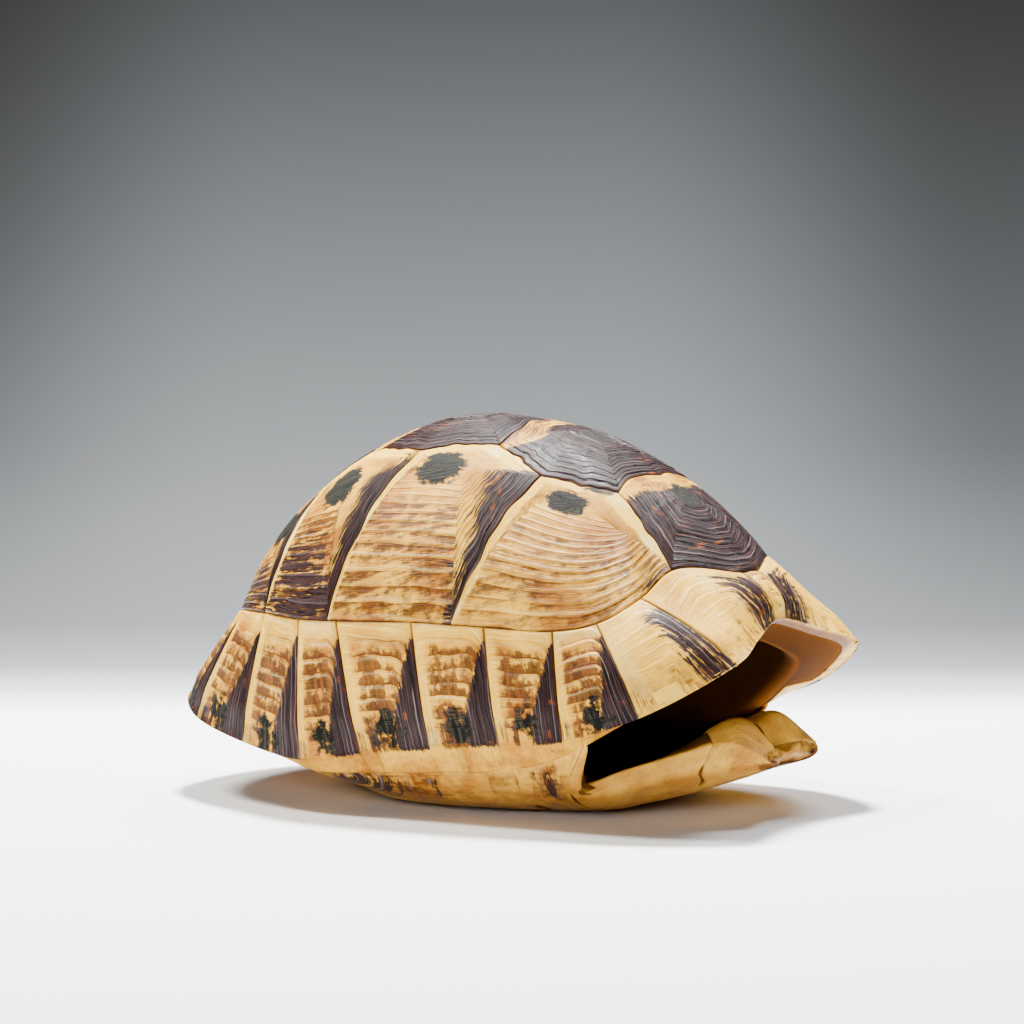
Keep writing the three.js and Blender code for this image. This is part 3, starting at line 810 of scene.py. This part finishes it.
# %% [markdown]
# ## The marginal scutes
# Each marginal wraps over the rim and a little way under it. Its first plate sits low, toward the
# rear, so its rings are nested arches: level ledges above, upright lines in the dark wedge that
# widens down the front seam. Its outline is nearly a rectangle, so a grid suits it better than
# rings of points, and it is laid from one end to the other and from the seam to the lip.

# %% Plates over a grid
MARGIN_LIFT = 0.9
MARGIN_YEARS, MARGIN_WIDENING = 8.0, 0.8
RIM_WEAR = 0.25
STEP_ACROSS, STEP_DOWN = 0.4, 0.5
ROUNDING = np.array([0, 0.05, 0.15, 0.3, 0.5, 0.75, 1.0])


def border(grid):
    """The outline of a grid, once round."""
    return np.concatenate([grid[0, :-1], grid[:-1, -1], grid[-1, ::-1][:-1], grid[::-1, 0][:-1]])


def grid_plate(plates, surface, a, b, lift, back, core, rings, measures):
    """A closed plate over a grid of surface places; core is a place and depth inside it."""
    ids = plates.add_points(raised(surface, a, b, lift), rings, **measures).reshape(a.shape)
    plates.sheet(ids, False)
    loop_a, loop_b, level = border(a), border(b), np.full(len(border(a)), -back)
    edges = {key: border(np.broadcast_to(value, a.shape)) for key, value in measures.items()}
    core_a, core_b, core_depth = np.array(core)[:, None]
    below = [border(ids)]
    for part in (1.0, 0.5):
        inner = (core_a + (loop_a - core_a) * part, core_b + (loop_b - core_b) * part)
        below.append(plates.add_points(raised(surface, *inner, level), border(rings), **edges))
    plates.sheet(np.stack(below)[::-1], True)
    plates.fan(plates.add_points(raised(surface, core_a, core_b, -core_depth))[0], below[-1])
    plates.seal()


print("grid plates step %.1f mm across and %.1f mm down" % (STEP_ACROSS, STEP_DOWN))

# %% A marginal scute


def marginal_plate(plates, start, end, toward_rear, seed, hub, rule, relief=1.0, last_s=3.0):
    """A grid from the seam over the rim to the lip; toward_rear tells which end is the rear."""
    ends = np.array([start, end, (start + end) / 2], float)
    rim, seam = spline(rim_loop, ends, True), seam_at(ends)
    width = np.linalg.norm(rim[0] - rim[1])
    face = np.linalg.norm(rim[2] - seam[2])
    inset = EDGE_BAND / width
    x = np.concatenate([ROUNDING / width, np.linspace(inset, 1 - inset, int(width / STEP_ACROSS)),
                        1 - ROUNDING[::-1] / width])
    s = np.concatenate([1 + ROUNDING / face,
                        np.linspace(1 + EDGE_BAND / face, 1.985, int(face / STEP_DOWN)),
                        [1.995, 2.0, 2.02, 2.06], np.linspace(2.12, last_s, 14)])
    xx, ss = np.meshgrid(x, s)
    across = xx if toward_rear else 1 - xx
    front_x, rear_x, hub_s = hub
    ahead = np.clip((front_x - across) / front_x, 0, 1)
    behind = np.clip((across - rear_x) / (1 - rear_x), 0, 1)
    above = np.clip((hub_s - ss) / (hub_s - 1), 0, 1)
    growth = np.clip((np.maximum(ahead, behind) ** 7 + above ** 7) ** (1 / 7), 0, 1)
    gap = np.minimum(np.minimum(xx, 1 - xx) * width, (ss - 1) * face)
    worn = smooth(1.7, 2.0, ss)
    lift = MARGIN_LIFT * edge_profile(gap) * (1 - worn) - RIM_WEAR * worn
    on_side = np.maximum(ahead, behind) > above
    along = np.where(on_side, (ss - 1) * face, xx * width)
    reach = np.where(on_side, (1 - rear_x) * width, face * (hub_s - 1))
    reach = np.where(ahead > above, front_x * width, reach)
    rings = np.stack([along, year_of(growth, MARGIN_YEARS, MARGIN_WIDENING),
                      np.full(xx.shape, seed * SEED_STEP)], -1)
    measures = rule(across, ss, ahead, behind, above, growth)
    under = smooth(1.95, 2.05, ss)
    place = (start + (end - start) * xx) % LOOP
    from_neck = np.minimum(place, LOOP - place)
    bridge = smooth(2.5, 3.6, from_neck) * (1 - smooth(9, 10.5, from_neck))
    # under is painted shade: it darkens the horn from the rim in under the shell, but not on the
    # bridge.
    measures.update(fade=relief * smooth(0.12, 0.3, growth) * smooth(0.3, 1.4, gap) * (1 - under)
                    * (1 - 0.6 * smooth(0.74, 0.9, across)),
                    pitch=ring_width(growth, MARGIN_YEARS, MARGIN_WIDENING, reach),
                    seam=(1 - smooth(0.1, 0.8, gap)) * (1 - 0.6 * under),
                    under=np.clip(ss - 2, 0, 1) * (1 - bridge))
    grid_plate(plates, margin, start + (end - start) * xx, ss, lift, PLATE_BACK,
               ((start + end) / 2, 1.9, 2.5), rings, measures)


print("a marginal has about %.0f rings" % MARGIN_YEARS)

# %% Pigment of the marginals
MARGINALS = [(1, 3)] + [(k, k + 1) for k in range(3, 13)]
MARGINAL_HUB = (0.45, 0.87, 1.88)
FRONT_HUB = (0.55, 0.8, 1.85)


def wedge_rule(across, s, ahead, behind, above, growth):
    """Dark wedge along the front seam, brown clouds in the middle, yellow above and behind."""
    wedge = np.clip(0.5 + (ahead - above - 0.02) * 3.5, 0, 1)
    wedge = wedge * smooth(1.06, 1.2, s) * (1 - smooth(2.02, 2.35, s))
    spot = 0.66 * np.clip(1.3 - np.hypot((across - 0.52) * 3.4, (s - 1.86) * 4.2), 0, 1)
    brown = smooth(1.08, 1.3, s) * (1 - 0.75 * smooth(2.0, 2.25, s))
    brown = brown * (1 - smooth(0.74, 0.92, across))
    strip = smooth(0.78, 0.9, across) * (1 - smooth(1.95, 2.1, s))
    pale = np.maximum(1 - smooth(1.04, 1.2, s), strip)
    return {"dark": wedge, "warm": 1.2 * brown, "moss": spot * (1 - smooth(2.0, 2.15, s)),
            "pale": 0.62 * pale}


def stripe_rule(across, s, ahead, behind, above, growth):
    """The first two on each side: yellow, with a violet stripe along the front seam."""
    stripe = 0.7 * smooth(1.02, 1.25, s) * (1 - smooth(1.97, 2.08, s))
    stripe = stripe * (1 - smooth(0.2, 0.56, across))
    return {"dark": stripe, "warm": 0.25 * stripe + 0.15 + 0.3 * smooth(1.5, 1.9, s), "pale": 0.4}


def neck_rule(across, s, ahead, behind, above, growth):
    """The small scute over the neck: amber, browner than its neighbours."""
    return {"warm": 0.5, "pale": 0.45 * (1 - smooth(1.9, 2.1, s))}


def tail_rule(across, s, ahead, behind, above, growth):
    """The scute over the tail: a dark patch in the middle that widens toward the rim."""
    middle = np.clip(0.5 + (0.12 + 0.3 * (s - 1) - np.abs(across - 0.5)) * 5, 0, 1)
    return {"dark": 0.8 * middle * smooth(1.05, 1.3, s) * (1 - smooth(1.6, 1.95, s)), "warm": 0.9}


FRONT_KIND = (FRONT_HUB, stripe_rule, 0.25, 2.3)
SIDE_KIND = (MARGINAL_HUB, wedge_rule, 1.0, 3.0)


def marginal_plates(plates, side):
    for i, (start, end) in enumerate(MARGINALS):
        kind = FRONT_KIND if i < 2 else SIDE_KIND
        if side < 0:
            marginal_plate(plates, start, end, True, 31 + i, *kind)
        else:
            marginal_plate(plates, LOOP - end, LOOP - start, False, 61 + i, *kind)


print(len(MARGINALS), "marginals on a side, and one at each end")

# %% [markdown]
# ## The plastron scutes
# Six pairs cover the underside. They are smoother than the dome's, worn by the ground, honey
# coloured with a few dark clouds, and their seams are thin wavy dark lines. The first pair, the
# gulars, folds over the front edge. They are grids like the marginals, with finer steps at their
# ends, where they round down into a seam.

# %% A scute of the underside
CROSS_SEAMS = [(0, 0), (2.5, 1.3), (5.8, 5), (6.35, 6.15), (9, 10), (11.4, 12.3), (14, 14)]
PLASTRON_LIFT, PLASTRON_BACK = 0.42, 0.7
PLASTRON_STEP = 0.75
PLASTRON_YEARS = 9
FOLDS = {0: 1.96, 1: 1.3}


def plastron_plates(plates, side):
    for i in range(len(CROSS_SEAMS) - 1):
        last_q = FOLDS.get(i, 1.0)
        q_low, q_high = (0.0, last_q) if side > 0 else (-last_q, 0.0)
        columns = 130 if i < 2 else 84
        across = np.linspace(0, 1, columns)[1:-1]
        across = np.concatenate([[0, 0.0008, 0.0025, 0.005], across, [0.995, 0.9975, 0.9992, 1]])
        q = q_low + (q_high - q_low) * across
        out = np.abs(q)
        wave = 0.05 * np.sin(9 * out + 1.7 * i) + 0.03 * np.sin(23 * out + 4 * i)
        below = np.clip(out, 0, 1)
        first, last = (CROSS_SEAMS[j][0] + (CROSS_SEAMS[j][1] - CROSS_SEAMS[j][0]) * below
                       + (wave * np.sin(np.pi * below) if 0 < j < 6 else 0)
                       + (0.9 * np.clip(out - 1, 0, 1) if j == 1 else 0) for j in (i, i + 1))
        length = np.linalg.norm(plastron(first, q) - plastron(last, q), axis=-1)
        middle = np.median(length)
        rows = max(10, int(middle / PLASTRON_STEP))
        edge = ROUNDING / max(middle, 3)
        t = np.concatenate([edge, np.linspace(edge[-1], 1 - edge[-1], rows)[1:-1], 1 - edge[::-1]])
        tt, qq = np.meshgrid(t, q, indexing="ij")
        pp = first[None] + (last - first)[None] * tt
        place = plastron(pp, qq)
        gap = np.minimum(np.minimum(tt, 1 - tt) * length[None], np.abs(place[..., 1]))
        past = np.abs(qq)
        gap = np.minimum(gap, (last_q - past) * 50)
        lift = PLASTRON_LIFT * edge_profile(gap) * (1 - 0.9 * smooth(0.9, 1.0, past) * (i > 1))
        hub_t, hub_q = (0.35, 0.62) if i < 2 else (0.5, 0.72)
        growth = np.hypot((tt - hub_t) / max(hub_t, 1 - hub_t), (past - hub_q) / hub_q)
        years = year_of(np.clip(growth, 0, 1), PLASTRON_YEARS, MARGIN_WIDENING)
        rings = np.stack([past * 40, years, np.full(tt.shape, (81 + i) * SEED_STEP)], -1)
        cloud = np.exp(-((tt - 0.5) / 0.35) ** 2 - ((past - 0.66) / 0.2) ** 2) * (1 < i < 5)
        tip = (1 - smooth(0.1, 0.7, pp)) * (1 - smooth(0.3, 0.8, past))
        # under is painted shade, inside the humeral fold and under the gular tip.
        measures = {
            "fade": smooth(0.3, 2.0, gap) * (0.45 if i == 0 else 0.12), "pitch": 1.2,
            "dark": 0.7 * cloud, "warm": 0.3 + 0.5 * cloud, "seam": 1 - smooth(0.05, 0.4, gap),
            "under": 0.8 * smooth(1.0, 1.25, past) * (i == 1) + 0.75 * tip * (i == 0),
        }
        grid_plate(plates, plastron, pp, qq, lift, PLASTRON_BACK,
                   (float(pp.mean()), float(qq.mean()), 1.0), rings, measures)


print(len(CROSS_SEAMS) - 1, "pairs below")

# %% [markdown]
# ## Growth rings
# A bump in the material could show the rings, but it would leave the outline smooth and the mesh
# plain. They are a rule, not a drawing: a ledge climbs slowly outward and drops at its edge, wide
# rings stand higher than narrow ones, and all of them wander a little. A Geometry Nodes tree reads
# the plates' measures, works out the ledge height and moves the points along their normals. It
# also writes the ring number of every point, so the horn's lines sit exactly on the ledges.

# %% The growth ring tree


def growth_ring_tree():
    tree = bpy.data.node_groups.new("growth_rings", "GeometryNodeTree")
    add = adder(tree)
    sockets = {}
    for name, kind in (("Geometry", "Geometry"), ("Ledge", "Float"), ("Highest mm", "Float"),
                       ("Wander", "Float"), ("Roughness mm", "Float"), ("Seed", "Float"),
                       ("Material", "Material")):
        sockets[name] = tree.interface.new_socket(
            name, in_out="INPUT", socket_type="NodeSocket" + kind).identifier
    tree.interface.new_socket("Geometry", in_out="OUTPUT", socket_type="NodeSocketGeometry")
    given = add("NodeGroupInput")
    along, out, seed = add("Split", add("Stored", "rings", data_type="FLOAT_VECTOR")).values()
    seed = seed + given["Seed"]

    def wave(along_scale, out_scale, detail):
        """Noise in ring coordinates, from about -0.5 to 0.5."""
        at = add("Join", along * along_scale, out * out_scale, seed)
        return add("Noise", at, 1.0, detail, 0.55) - 0.5

    phase = out + wave(0.06, 0.25, 2.5) * given["Wander"]
    tooth = add("FRACT", phase)
    year = add("Random", add("FLOOR", phase) + seed)
    # A ledge climbs slowly, then falls about three times as steeply.
    ledge = add("MINIMUM", tooth * 1.3, (1.0 - tooth) * 4.3)
    step = add("MINIMUM", add("Stored", "pitch") * given["Ledge"], given["Highest mm"])
    step = step * (year * year * 1.3 + 0.25) * (wave(0.1, 0.5, 2.0) * 1.8 + 1.0)
    height = (ledge - 0.55) * step + wave(0.35, 1.6, 3.0) * given["Roughness mm"]
    offset = add("ShaderNodeVectorMath", operation="SCALE",
                 links={0: add("GeometryNodeInputNormal")["Normal"],
                        "Scale": height * add("Stored", "fade") * MM})["Vector"]
    geometry = given["Geometry"]
    for kind, links in (("GeometryNodeStoreNamedAttribute", {"Name": "ring", "Value": phase}),
                        ("GeometryNodeSetPosition", {"Offset": offset}),
                        ("GeometryNodeRealizeInstances", {}),
                        ("GeometryNodeSetMaterial", {"Material": given["Material"]})):
        geometry = add(kind, links={"Geometry": geometry, **links})["Geometry"]
    add("NodeGroupOutput", links={"Geometry": geometry})
    return tree, sockets


ring_tree, ring_sockets = growth_ring_tree()
print(len(ring_tree.nodes), "nodes in the ring tree")

# %% From plates to a finished piece


def hand_over(name, mesh):
    """Makes a finished piece: it replaces the plain shell and takes its slot."""
    piece = bpy.data.objects.new(name, mesh)
    bpy.context.collection.objects.link(piece)
    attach(piece, "root")
    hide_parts("shell")


# ledge and wander are shares of a ring's width, and the seed keeps the pattern the same each run.
RING_SIZES = {"ledge": 0.12, "highest_mm": 0.3, "wander": 0.9, "roughness_mm": 0.1, "seed": 3.0}


def press_rings(name, plates, material, **sizes):
    """Runs the ring tree on a set of plates and keeps the result as a plain mesh."""
    draft = bpy.data.objects.new(name + "_draft", plates.mesh(name))
    bpy.context.collection.objects.link(draft)
    modifier = draft.modifiers.new("growth_rings", "NODES")
    modifier.node_group = ring_tree
    for label, value in {**RING_SIZES, **sizes}.items():
        modifier[ring_sockets[label.capitalize().replace("_", " ")]] = value
    modifier[ring_sockets["Material"]] = material
    finished = draft.evaluated_get(bpy.context.evaluated_depsgraph_get())
    mesh = bpy.data.meshes.new_from_object(finished)
    mesh.name = name
    bpy.data.objects.remove(draft)
    hand_over(name, mesh)


print("usual ring sizes:", RING_SIZES)

# %% [markdown]
# ## Horn
# Scutes are keratin, the stuff of horn and fingernail: yellow and slightly see-through where it has
# no pigment, brown to purple-black where it has, with a worn natural polish. The broad sectors come
# from the pigment rules. Within them each ring has its own brown clouds and a dark line at the foot
# of its ledge, its crest carries a painted highlight, and fine fibres run out across the rings. The
# faces turned in under the rim get painted shade. A painted picture would blur close by and slide
# off the ledges, so the colour is worked out from the same ring numbers as the relief.

# %% What the layers of horn share


class HornPatterns:
    """The measures of a point, and the noises that the layers of horn are mixed from."""

    def __init__(self, add):
        self.add = add
        rings = add("Split", add("Vector", attribute_name="rings"))
        self.along, self.out, self.seed = rings.values()
        for label in ("dark", "warm", "moss", "pale", "fade", "seam", "under", "ring"):
            setattr(self, label, add("Measure", attribute_name=label))
        self.tooth, self.year = add("FRACT", self.ring), add("FLOOR", self.ring)
        self.place = add("Place")
        # The real fibres are finer than these, which are drawn as coarse as they need to be to show.
        self.blotch = self.ring_noise(0.13, self.year, 3.7, 2.5)
        self.fibre = self.ring_noise(0.75, self.ring, 0.3, turn=5.0)
        self.lines = self.ring_noise(0.05, self.ring, 1.9, rough=0.65, turn=2.0)
        self.fine = self.ring_noise(0.1, self.ring, 5.5, 2.0, turn=11.0)
        self.breaks = self.ring_noise(0.04, self.year, 2.3, 2.0, turn=23.0)
        # Clouds of 14 mm, milky patches of 22 mm, pits of 3 mm and specks of 2 mm, as repeats in
        # a metre.
        self.clouds = add("Noise", self.place, 70.0, 4.0, 0.6)
        self.patches = add("Noise", self.place, 45.0, 2.0, 0.6)
        self.mottle = add("Noise", self.place, 330.0, 3.0, 0.65)
        self.specks = add("Noise", self.place, 520.0, 3.0, 0.7)
        # The crest and the foot of each ledge, the chance that a ring has, and thin rings between.
        self.crest = add("Step", self.tooth, 0.64, 0.78) * (1.0 - add("Step", self.tooth, 0.83, 0.93))
        self.foot = 1.0 - add("Step", self.tooth, 0.02, 0.14)
        self.age = add("Random", self.year + self.seed)
        thin = add("FRACT", self.ring * 4.0 + self.fine * 2.0)
        self.thin = add("Step", thin, 0.0, 0.3) * (1.0 - add("Step", thin, 0.7, 1.0))

    def ring_noise(self, along_scale, out, out_scale, detail=3.0, rough=0.6, turn=0.0):
        """Noise in ring coordinates: millimetres round the scute by ring number."""
        at = self.add("Join", self.along * along_scale, out * out_scale, self.seed + turn)
        return self.add("Noise", at, 1.0, detail, rough)


print("fibres of %.1f mm, clouds of %.0f mm" % (1 / 0.75, 1 / 70.0 / MM))

# %% Layers of colour
# add adds a node, at holds the patterns, and rings is how far the growth rings show.


def amber_and_straw(add, at, rings, light_horn, brown_horn):
    """Keratin without pigment: amber, and straw yellow at the young edge of a scute."""
    cover = add("Mix", add("Step", at.clouds, 0.35, 0.68), light_horn, brown_horn)
    cover = add("Mix", add("Step", at.fine, 0.5, 0.7) * (0.55 * rings), cover, "#E8B440")
    straw = add("Mix", add("Step", at.fine, 0.42, 0.66), "#ECB428", "#FBD65A")
    straw = add("Mix", add("Step", at.patches, 0.52, 0.66) * 0.5, straw, "#F6EAA0")
    return add("Mix", at.pale * 0.92, cover, straw)


def brown_clouds(add, at, rings, cover):
    """Brown, ring by ring: strongest at the foot of a ledge, streaked by the fibres."""
    brown = at.blotch * 1.7 + at.fibre * 0.9 + at.mottle * 1.5
    brown = brown - at.tooth * (0.4 * rings) + (0.2 * rings - 1.7)
    brown = add("Step", brown * at.warm, 0.06, 0.46)
    streaks = add("Mix", add("Step", at.fibre, 0.38, 0.66), "#2C1206", "#6E390F")
    cover = add("Mix", brown * 0.92, cover, streaks)
    # Painted highlight: a pale line along the crest of each ledge.
    glint = at.crest * at.fade * at.age * add("Step", at.lines, 0.4, 0.6)
    cover = add("Mix", glint * (0.45 * rings), cover, "#F0D890")
    line = add("MULTIPLY", at.foot * at.fade, at.warm * 0.9 + 0.35, use_clamp=True)
    line = line * (at.age * 0.9 + 0.2) * add("Step", at.breaks, 0.36, 0.56)
    return add("Mix", line * rings, cover, "#552508")


def purple_bands(add, at, cover):
    """Purple-black bands, frayed along the rings, with painted highlights on their crests and a
    little rust.
    """
    edge = at.lines * 1.5 + at.fine + at.fibre * 0.3 + at.dark + at.mottle * 0.4 - 1.6
    violet = add("Mix", add("Step", at.fine, 0.36, 0.62), "#040203", "#160A0C")
    violet = add("Mix", at.thin * add("Step", at.lines, 0.4, 0.62) * 0.25, violet, "#6B4B48")
    # Painted highlight on the crests of the dark bands.
    crest_highlight = at.crest * add("Step", at.lines, 0.35, 0.6) * add("Step", at.age, 0.2, 0.9)
    violet = add("Mix", crest_highlight * 0.6, violet, "#94817F")
    rust = add("Step", at.blotch, 0.6, 0.72) * add("Step", at.mottle, 0.4, 0.6)
    violet = add("Mix", rust * 0.7, violet, "#8A4310")
    banded = add("Step", edge, 0.42, 0.6) * add("Step", at.dark, 0.03, 0.2)
    return add("Mix", banded, cover, violet)


def first_plate(add, at, cover):
    """The areola: green-black and pitted. Gives the colour, and where the areola is."""
    areola = add("Step", at.moss + at.mottle * 1.2 + at.blotch * 0.8 - 1.0, 0.35, 0.6)
    pitted = add("Mix", add("Step", at.mottle, 0.4, 0.62), "#010101", "#0B0B08")
    pitted = add("Mix", at.thin * add("Step", at.fibre, 0.45, 0.6) * 0.2, pitted, "#6E6B54")
    return add("Mix", areola, cover, pitted), areola


def dirt(add, at, cover, areola):
    """Painted shade darkens the faces turned in under the rim; the seams and pits hold dirt."""
    turned_in_shade = add("Mix", add("Step", at.under, 0.15, 0.8), "#5E2C06", "#140802")
    cover = add("Mix", add("Step", at.under, 0.0, 0.15) * 0.9, cover, turned_in_shade)
    cover = add("Mix", at.seam * 0.75 * add("Step", at.clouds, 0.3, 0.6), cover, "#4A210A")
    in_pits = add("Step", at.specks, 0.62, 0.76) * (areola * -0.3 + 0.35)
    return add("Mix", in_pits, cover, "#4E3018")


print("layers of horn:", *(layer.__name__ for layer in (
    amber_and_straw, brown_clouds, purple_bands, first_plate, dirt)))

# %% The horn material
REAR_FROM, REAR_TO = -0.05, -0.092


def horn_material(name, rings, light_horn, brown_horn):
    """rings is how far the growth rings show: 1 where they are crisp, less where they are worn."""
    material, tree, shader, add = new_material(name)
    at = HornPatterns(add)
    cover = amber_and_straw(add, at, rings, light_horn, brown_horn)
    cover = brown_clouds(add, at, rings, cover)
    # The rear of the shell is browner.
    rear = add("Range", add("Split", at.place)["X"], REAR_FROM, REAR_TO)
    cover = add("Mix", rear * 0.5, cover, "#5A2C0C")
    cover = purple_bands(add, at, cover)
    cover, areola = first_plate(add, at, cover)
    cover = dirt(add, at, cover, areola)

    # A worn natural polish, duller on the first plates and on the side turned in.
    polish = add("Range", at.specks + at.fine * 0.6, 0.5, 1.1, 0.28, 0.52)
    matt = add("Step", at.moss + at.under, 0.2, 0.6) * 0.75
    relief = (at.crest + at.thin * (0.4 * rings)) * at.fade
    relief = relief + at.fine * (0.5 * rings) + at.specks * 0.22 + at.fibre * (0.25 * rings)
    plug(tree, shader, {
        "Base Color": cover, "Roughness": add("MAXIMUM", polish, matt),
        "Normal": add("Bump", relief, 0.6, 0.3 * MM),
        "IOR": 1.5, "Specular IOR Level": 0.1,
        "Subsurface Weight": 0.05, "Subsurface Scale": 2 * MM})
    return material


# Polished keratin, clear amber: deep colour with soft broad highlights.
horn = horn_material("keratin_scutes", 1.0, "#DFA62C", "#A06214")
# The same, ground dull by walking: honey brown, with the rings almost gone.
worn_horn = horn_material("worn_plastron_keratin", 0.25, "#DCA63C", "#B07224")

print(len(horn.node_tree.nodes), "nodes in the horn")

# %% Press the rings into every scute
SIDES = (("right", -1), ("left", 1))
spine, ends = Plates(), Plates()
vertebral_plates(spine)
press_rings("vertebral_scutes", spine, horn, ledge=0.26, highest_mm=0.36, wander=0.7)
for label, side in SIDES:
    flank, edge_row = Plates(), Plates()
    costal_plates(flank, side)
    press_rings("costal_scutes_" + label, flank, horn,
                ledge=0.09, highest_mm=0.24, wander=0.7, roughness_mm=0.08)
    marginal_plates(edge_row, side)
    press_rings("marginal_scutes_" + label, edge_row, horn,
                highest_mm=0.36, wander=1.2, roughness_mm=0.14)
marginal_plate(ends, -1, 1, True, 30, (0.4, 0.6, 1.9), neck_rule, 0.5, 2.3)
marginal_plate(ends, 13, 15, True, 60, (0.4, 0.6, 1.86), tail_rule)
press_rings("nuchal_and_tail_scutes", ends, horn)
for label, side in SIDES:
    tray = Plates()
    plastron_plates(tray, side)
    press_rings("plastron_scutes_" + label, tray, worn_horn,
                ledge=0.08, highest_mm=0.12, wander=0.8, roughness_mm=0.06)

# %% [markdown]
# ## Bone
# Under the horn is the bone itself, one grown box. It shows inside the openings and as the thin
# line at the bottom of each seam. A Solidify modifier could thicken the dome's surface, but the
# rim's inner lip has a curve of its own. So the bone is made of closed loops of points, a little
# below the plates. Its colour carries painted shade: tan at the lips and dark brown deep
# inside.

# %% Bone of the dome
BONE_WALL = 3.5
UNDER_HORN = 0.6
LIP_WIDTH, LIP_RISE = 5, 2
STRUT_AT, STRUT_WIDTH, STRUT_DEPTH = 25.5, 0.07, 2.0
DOME_LOOPS, WALL_LOOPS = 36, 12
CROWN_GAP = 0.03


def bone_dome(columns=336):
    ks = np.arange(columns) * LOOP / columns
    disc_u, disc_v = disc_of(ks).T

    def dome_loops(first, last, depth):
        """Loops of points under the dome, from one share of its reach to another."""
        level = np.full(columns, -depth)
        return [raised(dome, disc_u * r, disc_v * r, level)
                for r in np.linspace(first, last, DOME_LOOPS)]

    level = np.full(columns, -UNDER_HORN)
    rows = dome_loops(CROWN_GAP, 1.0, UNDER_HORN)
    # Painted light: lit_share 1 is tan bone and 0 dark brown; it falls inward from the rim.
    lit_share = [0.0] * DOME_LOOPS
    for s in np.concatenate([np.linspace(1.1, 1.95, 10), [2.05], np.linspace(2.2, 3.0, 8)]):
        rows.append(raised(margin, ks, np.full(columns, s), level))
        lit_share.append(1.0 - 1.1 * max(0.0, s - 2.1))
    lip = spline(lip_loop, ks, True)
    inward = np.stack([CROWN_X - lip[:, 0], -lip[:, 1], np.zeros(columns)], -1)
    inward /= np.linalg.norm(inward, axis=1, keepdims=True)
    for f, share in ((0.35, 0.9), (0.7, 0.7), (1.0, 0.5)):
        rows.append(lip + inward * LIP_WIDTH * f + np.array((0, 0, LIP_RISE)) * f ** 2)
        lit_share.append(share)
    shelf, inner_face = rows[-1], dome_loops(1.0, CROWN_GAP, BONE_WALL)
    strut = np.exp(-((ks - STRUT_AT) / STRUT_WIDTH) ** 2)[:, None]
    for f in np.linspace(0.08, 0.92, WALL_LOOPS):
        bowed = inward * strut * STRUT_DEPTH * np.sin(np.pi * f)
        rows.append(shelf + (inner_face[0] - shelf) * f + bowed)
        lit_share.append(0.4 * (1 - f) ** 2)
    grid = np.stack(rows + inner_face)
    light = np.array(lit_share + [0.0] * DOME_LOOPS)[:, None] + np.zeros(columns)
    # Painted light on the bowed strut in the wall, and painted shade inside the front opening.
    wall = light[-DOME_LOOPS - WALL_LOOPS:-DOME_LOOPS]
    np.maximum(wall, 0.8 * strut[:, 0], out=wall)
    front = smooth(0.4, 0.8, np.cos(2 * np.pi * ks / LOOP))
    light = light * (1 - 0.8 * front * smooth(0.0, 0.4, 1 - light))
    form = Plates()
    ids = form.add_points(grid, warm=light).reshape(grid.shape[:2])
    form.sheet(ids, True)
    crown = form.add_points(np.array([[CROWN_X, 0, CROWN_Z - UNDER_HORN]]))[0]
    form.fan(crown, ids[0])
    inner = form.add_points(np.array([[CROWN_X, 0, CROWN_Z - BONE_WALL]]))[0]
    form.fan(inner, ids[-1], turned=True)
    form.seal()
    return form


dome_bone = bone_dome().mesh("bone_of_the_dome")

# %% Bone of the plastron
BELOW_COLUMNS, INSIDE_COLUMNS = 120, 100
TRAY_DEPTH = 0.3


def bone_plastron(rows=130):
    """The tray, with its sections closed at both ends; under the horn it lies a little deeper."""
    p = np.linspace(0, len(SECTIONS) - 1, rows)
    q = np.concatenate([np.linspace(-1, 1, BELOW_COLUMNS + 1)[:-1],
                        np.linspace(1, 3, INSIDE_COLUMNS + 1)[:-1]])
    pp, qq = np.meshgrid(p, q, indexing="ij")
    depth = TRAY_DEPTH * (1 - smooth(0.93, 1.0, np.abs(qq))) * (np.abs(qq) < 1)
    ends = smooth(0, 0.3, pp) * smooth(0, 0.3, len(SECTIONS) - 1 - pp)
    grid = raised(plastron, np.clip(pp, 0.01, len(SECTIONS) - 1.01), qq, -depth * ends)
    # Painted shade: the tray's inner face is darker, less so at the front tip.
    inside = np.where(qq > 1, np.minimum(qq - 1, 3 - qq), 0)
    front = smooth(0, 2.5, pp)
    light = 1 - smooth(0.1, 0.5, inside) * (0.35 + 0.65 * front)
    form = Plates()
    ids = form.add_points(grid, warm=light).reshape(grid.shape[:2])
    form.sheet(ids, True)
    for row, turned in ((0, False), (-1, True)):
        hub = form.add_points(grid[row].mean(0)[None], warm=0.3)[0]
        form.fan(hub, ids[row], turned=turned)
    form.seal()
    return form


plastron_bone = bone_plastron().mesh("bone_of_the_plastron")

# %% Old bone


def bone_material():
    """Old bone: chalky and matt, brown with age; painted shade makes it tan at the lips and dark
    brown deep inside.
    """
    material, tree, shader, add = new_material("old_bone")
    cloud = add("Noise", add("Place"), 60.0, 5.0)  # patches of 17 mm
    shaded_bone, lit_bone = (add("Mix", cloud, low, high)
                   for low, high in (("#2E1504", "#54300C"), ("#5E2E06", "#8A500E")))
    plug(tree, shader, {
        "Base Color": add("Mix", add("Measure", attribute_name="warm"), shaded_bone, lit_bone),
        "Normal": add("Bump", cloud, 0.3, 0.4 * MM),
        "Roughness": 0.85, "IOR": 1.35, "Specular IOR Level": 0.05})
    return material


bone = bone_material()
for mesh in (dome_bone, plastron_bone):
    mesh.materials.append(bone)
# The tray's last faces close its two tips, where the horn wraps right round the bone.
plastron_bone.materials.append(worn_horn)
for face in list(plastron_bone.polygons)[-2 * (BELOW_COLUMNS + INSIDE_COLUMNS):]:
    face.material_index = 1
hand_over("bone_of_the_dome", dome_bone)
hand_over("bone_of_the_plastron", plastron_bone)
print(len(bone.node_tree.nodes), "nodes in the bone")
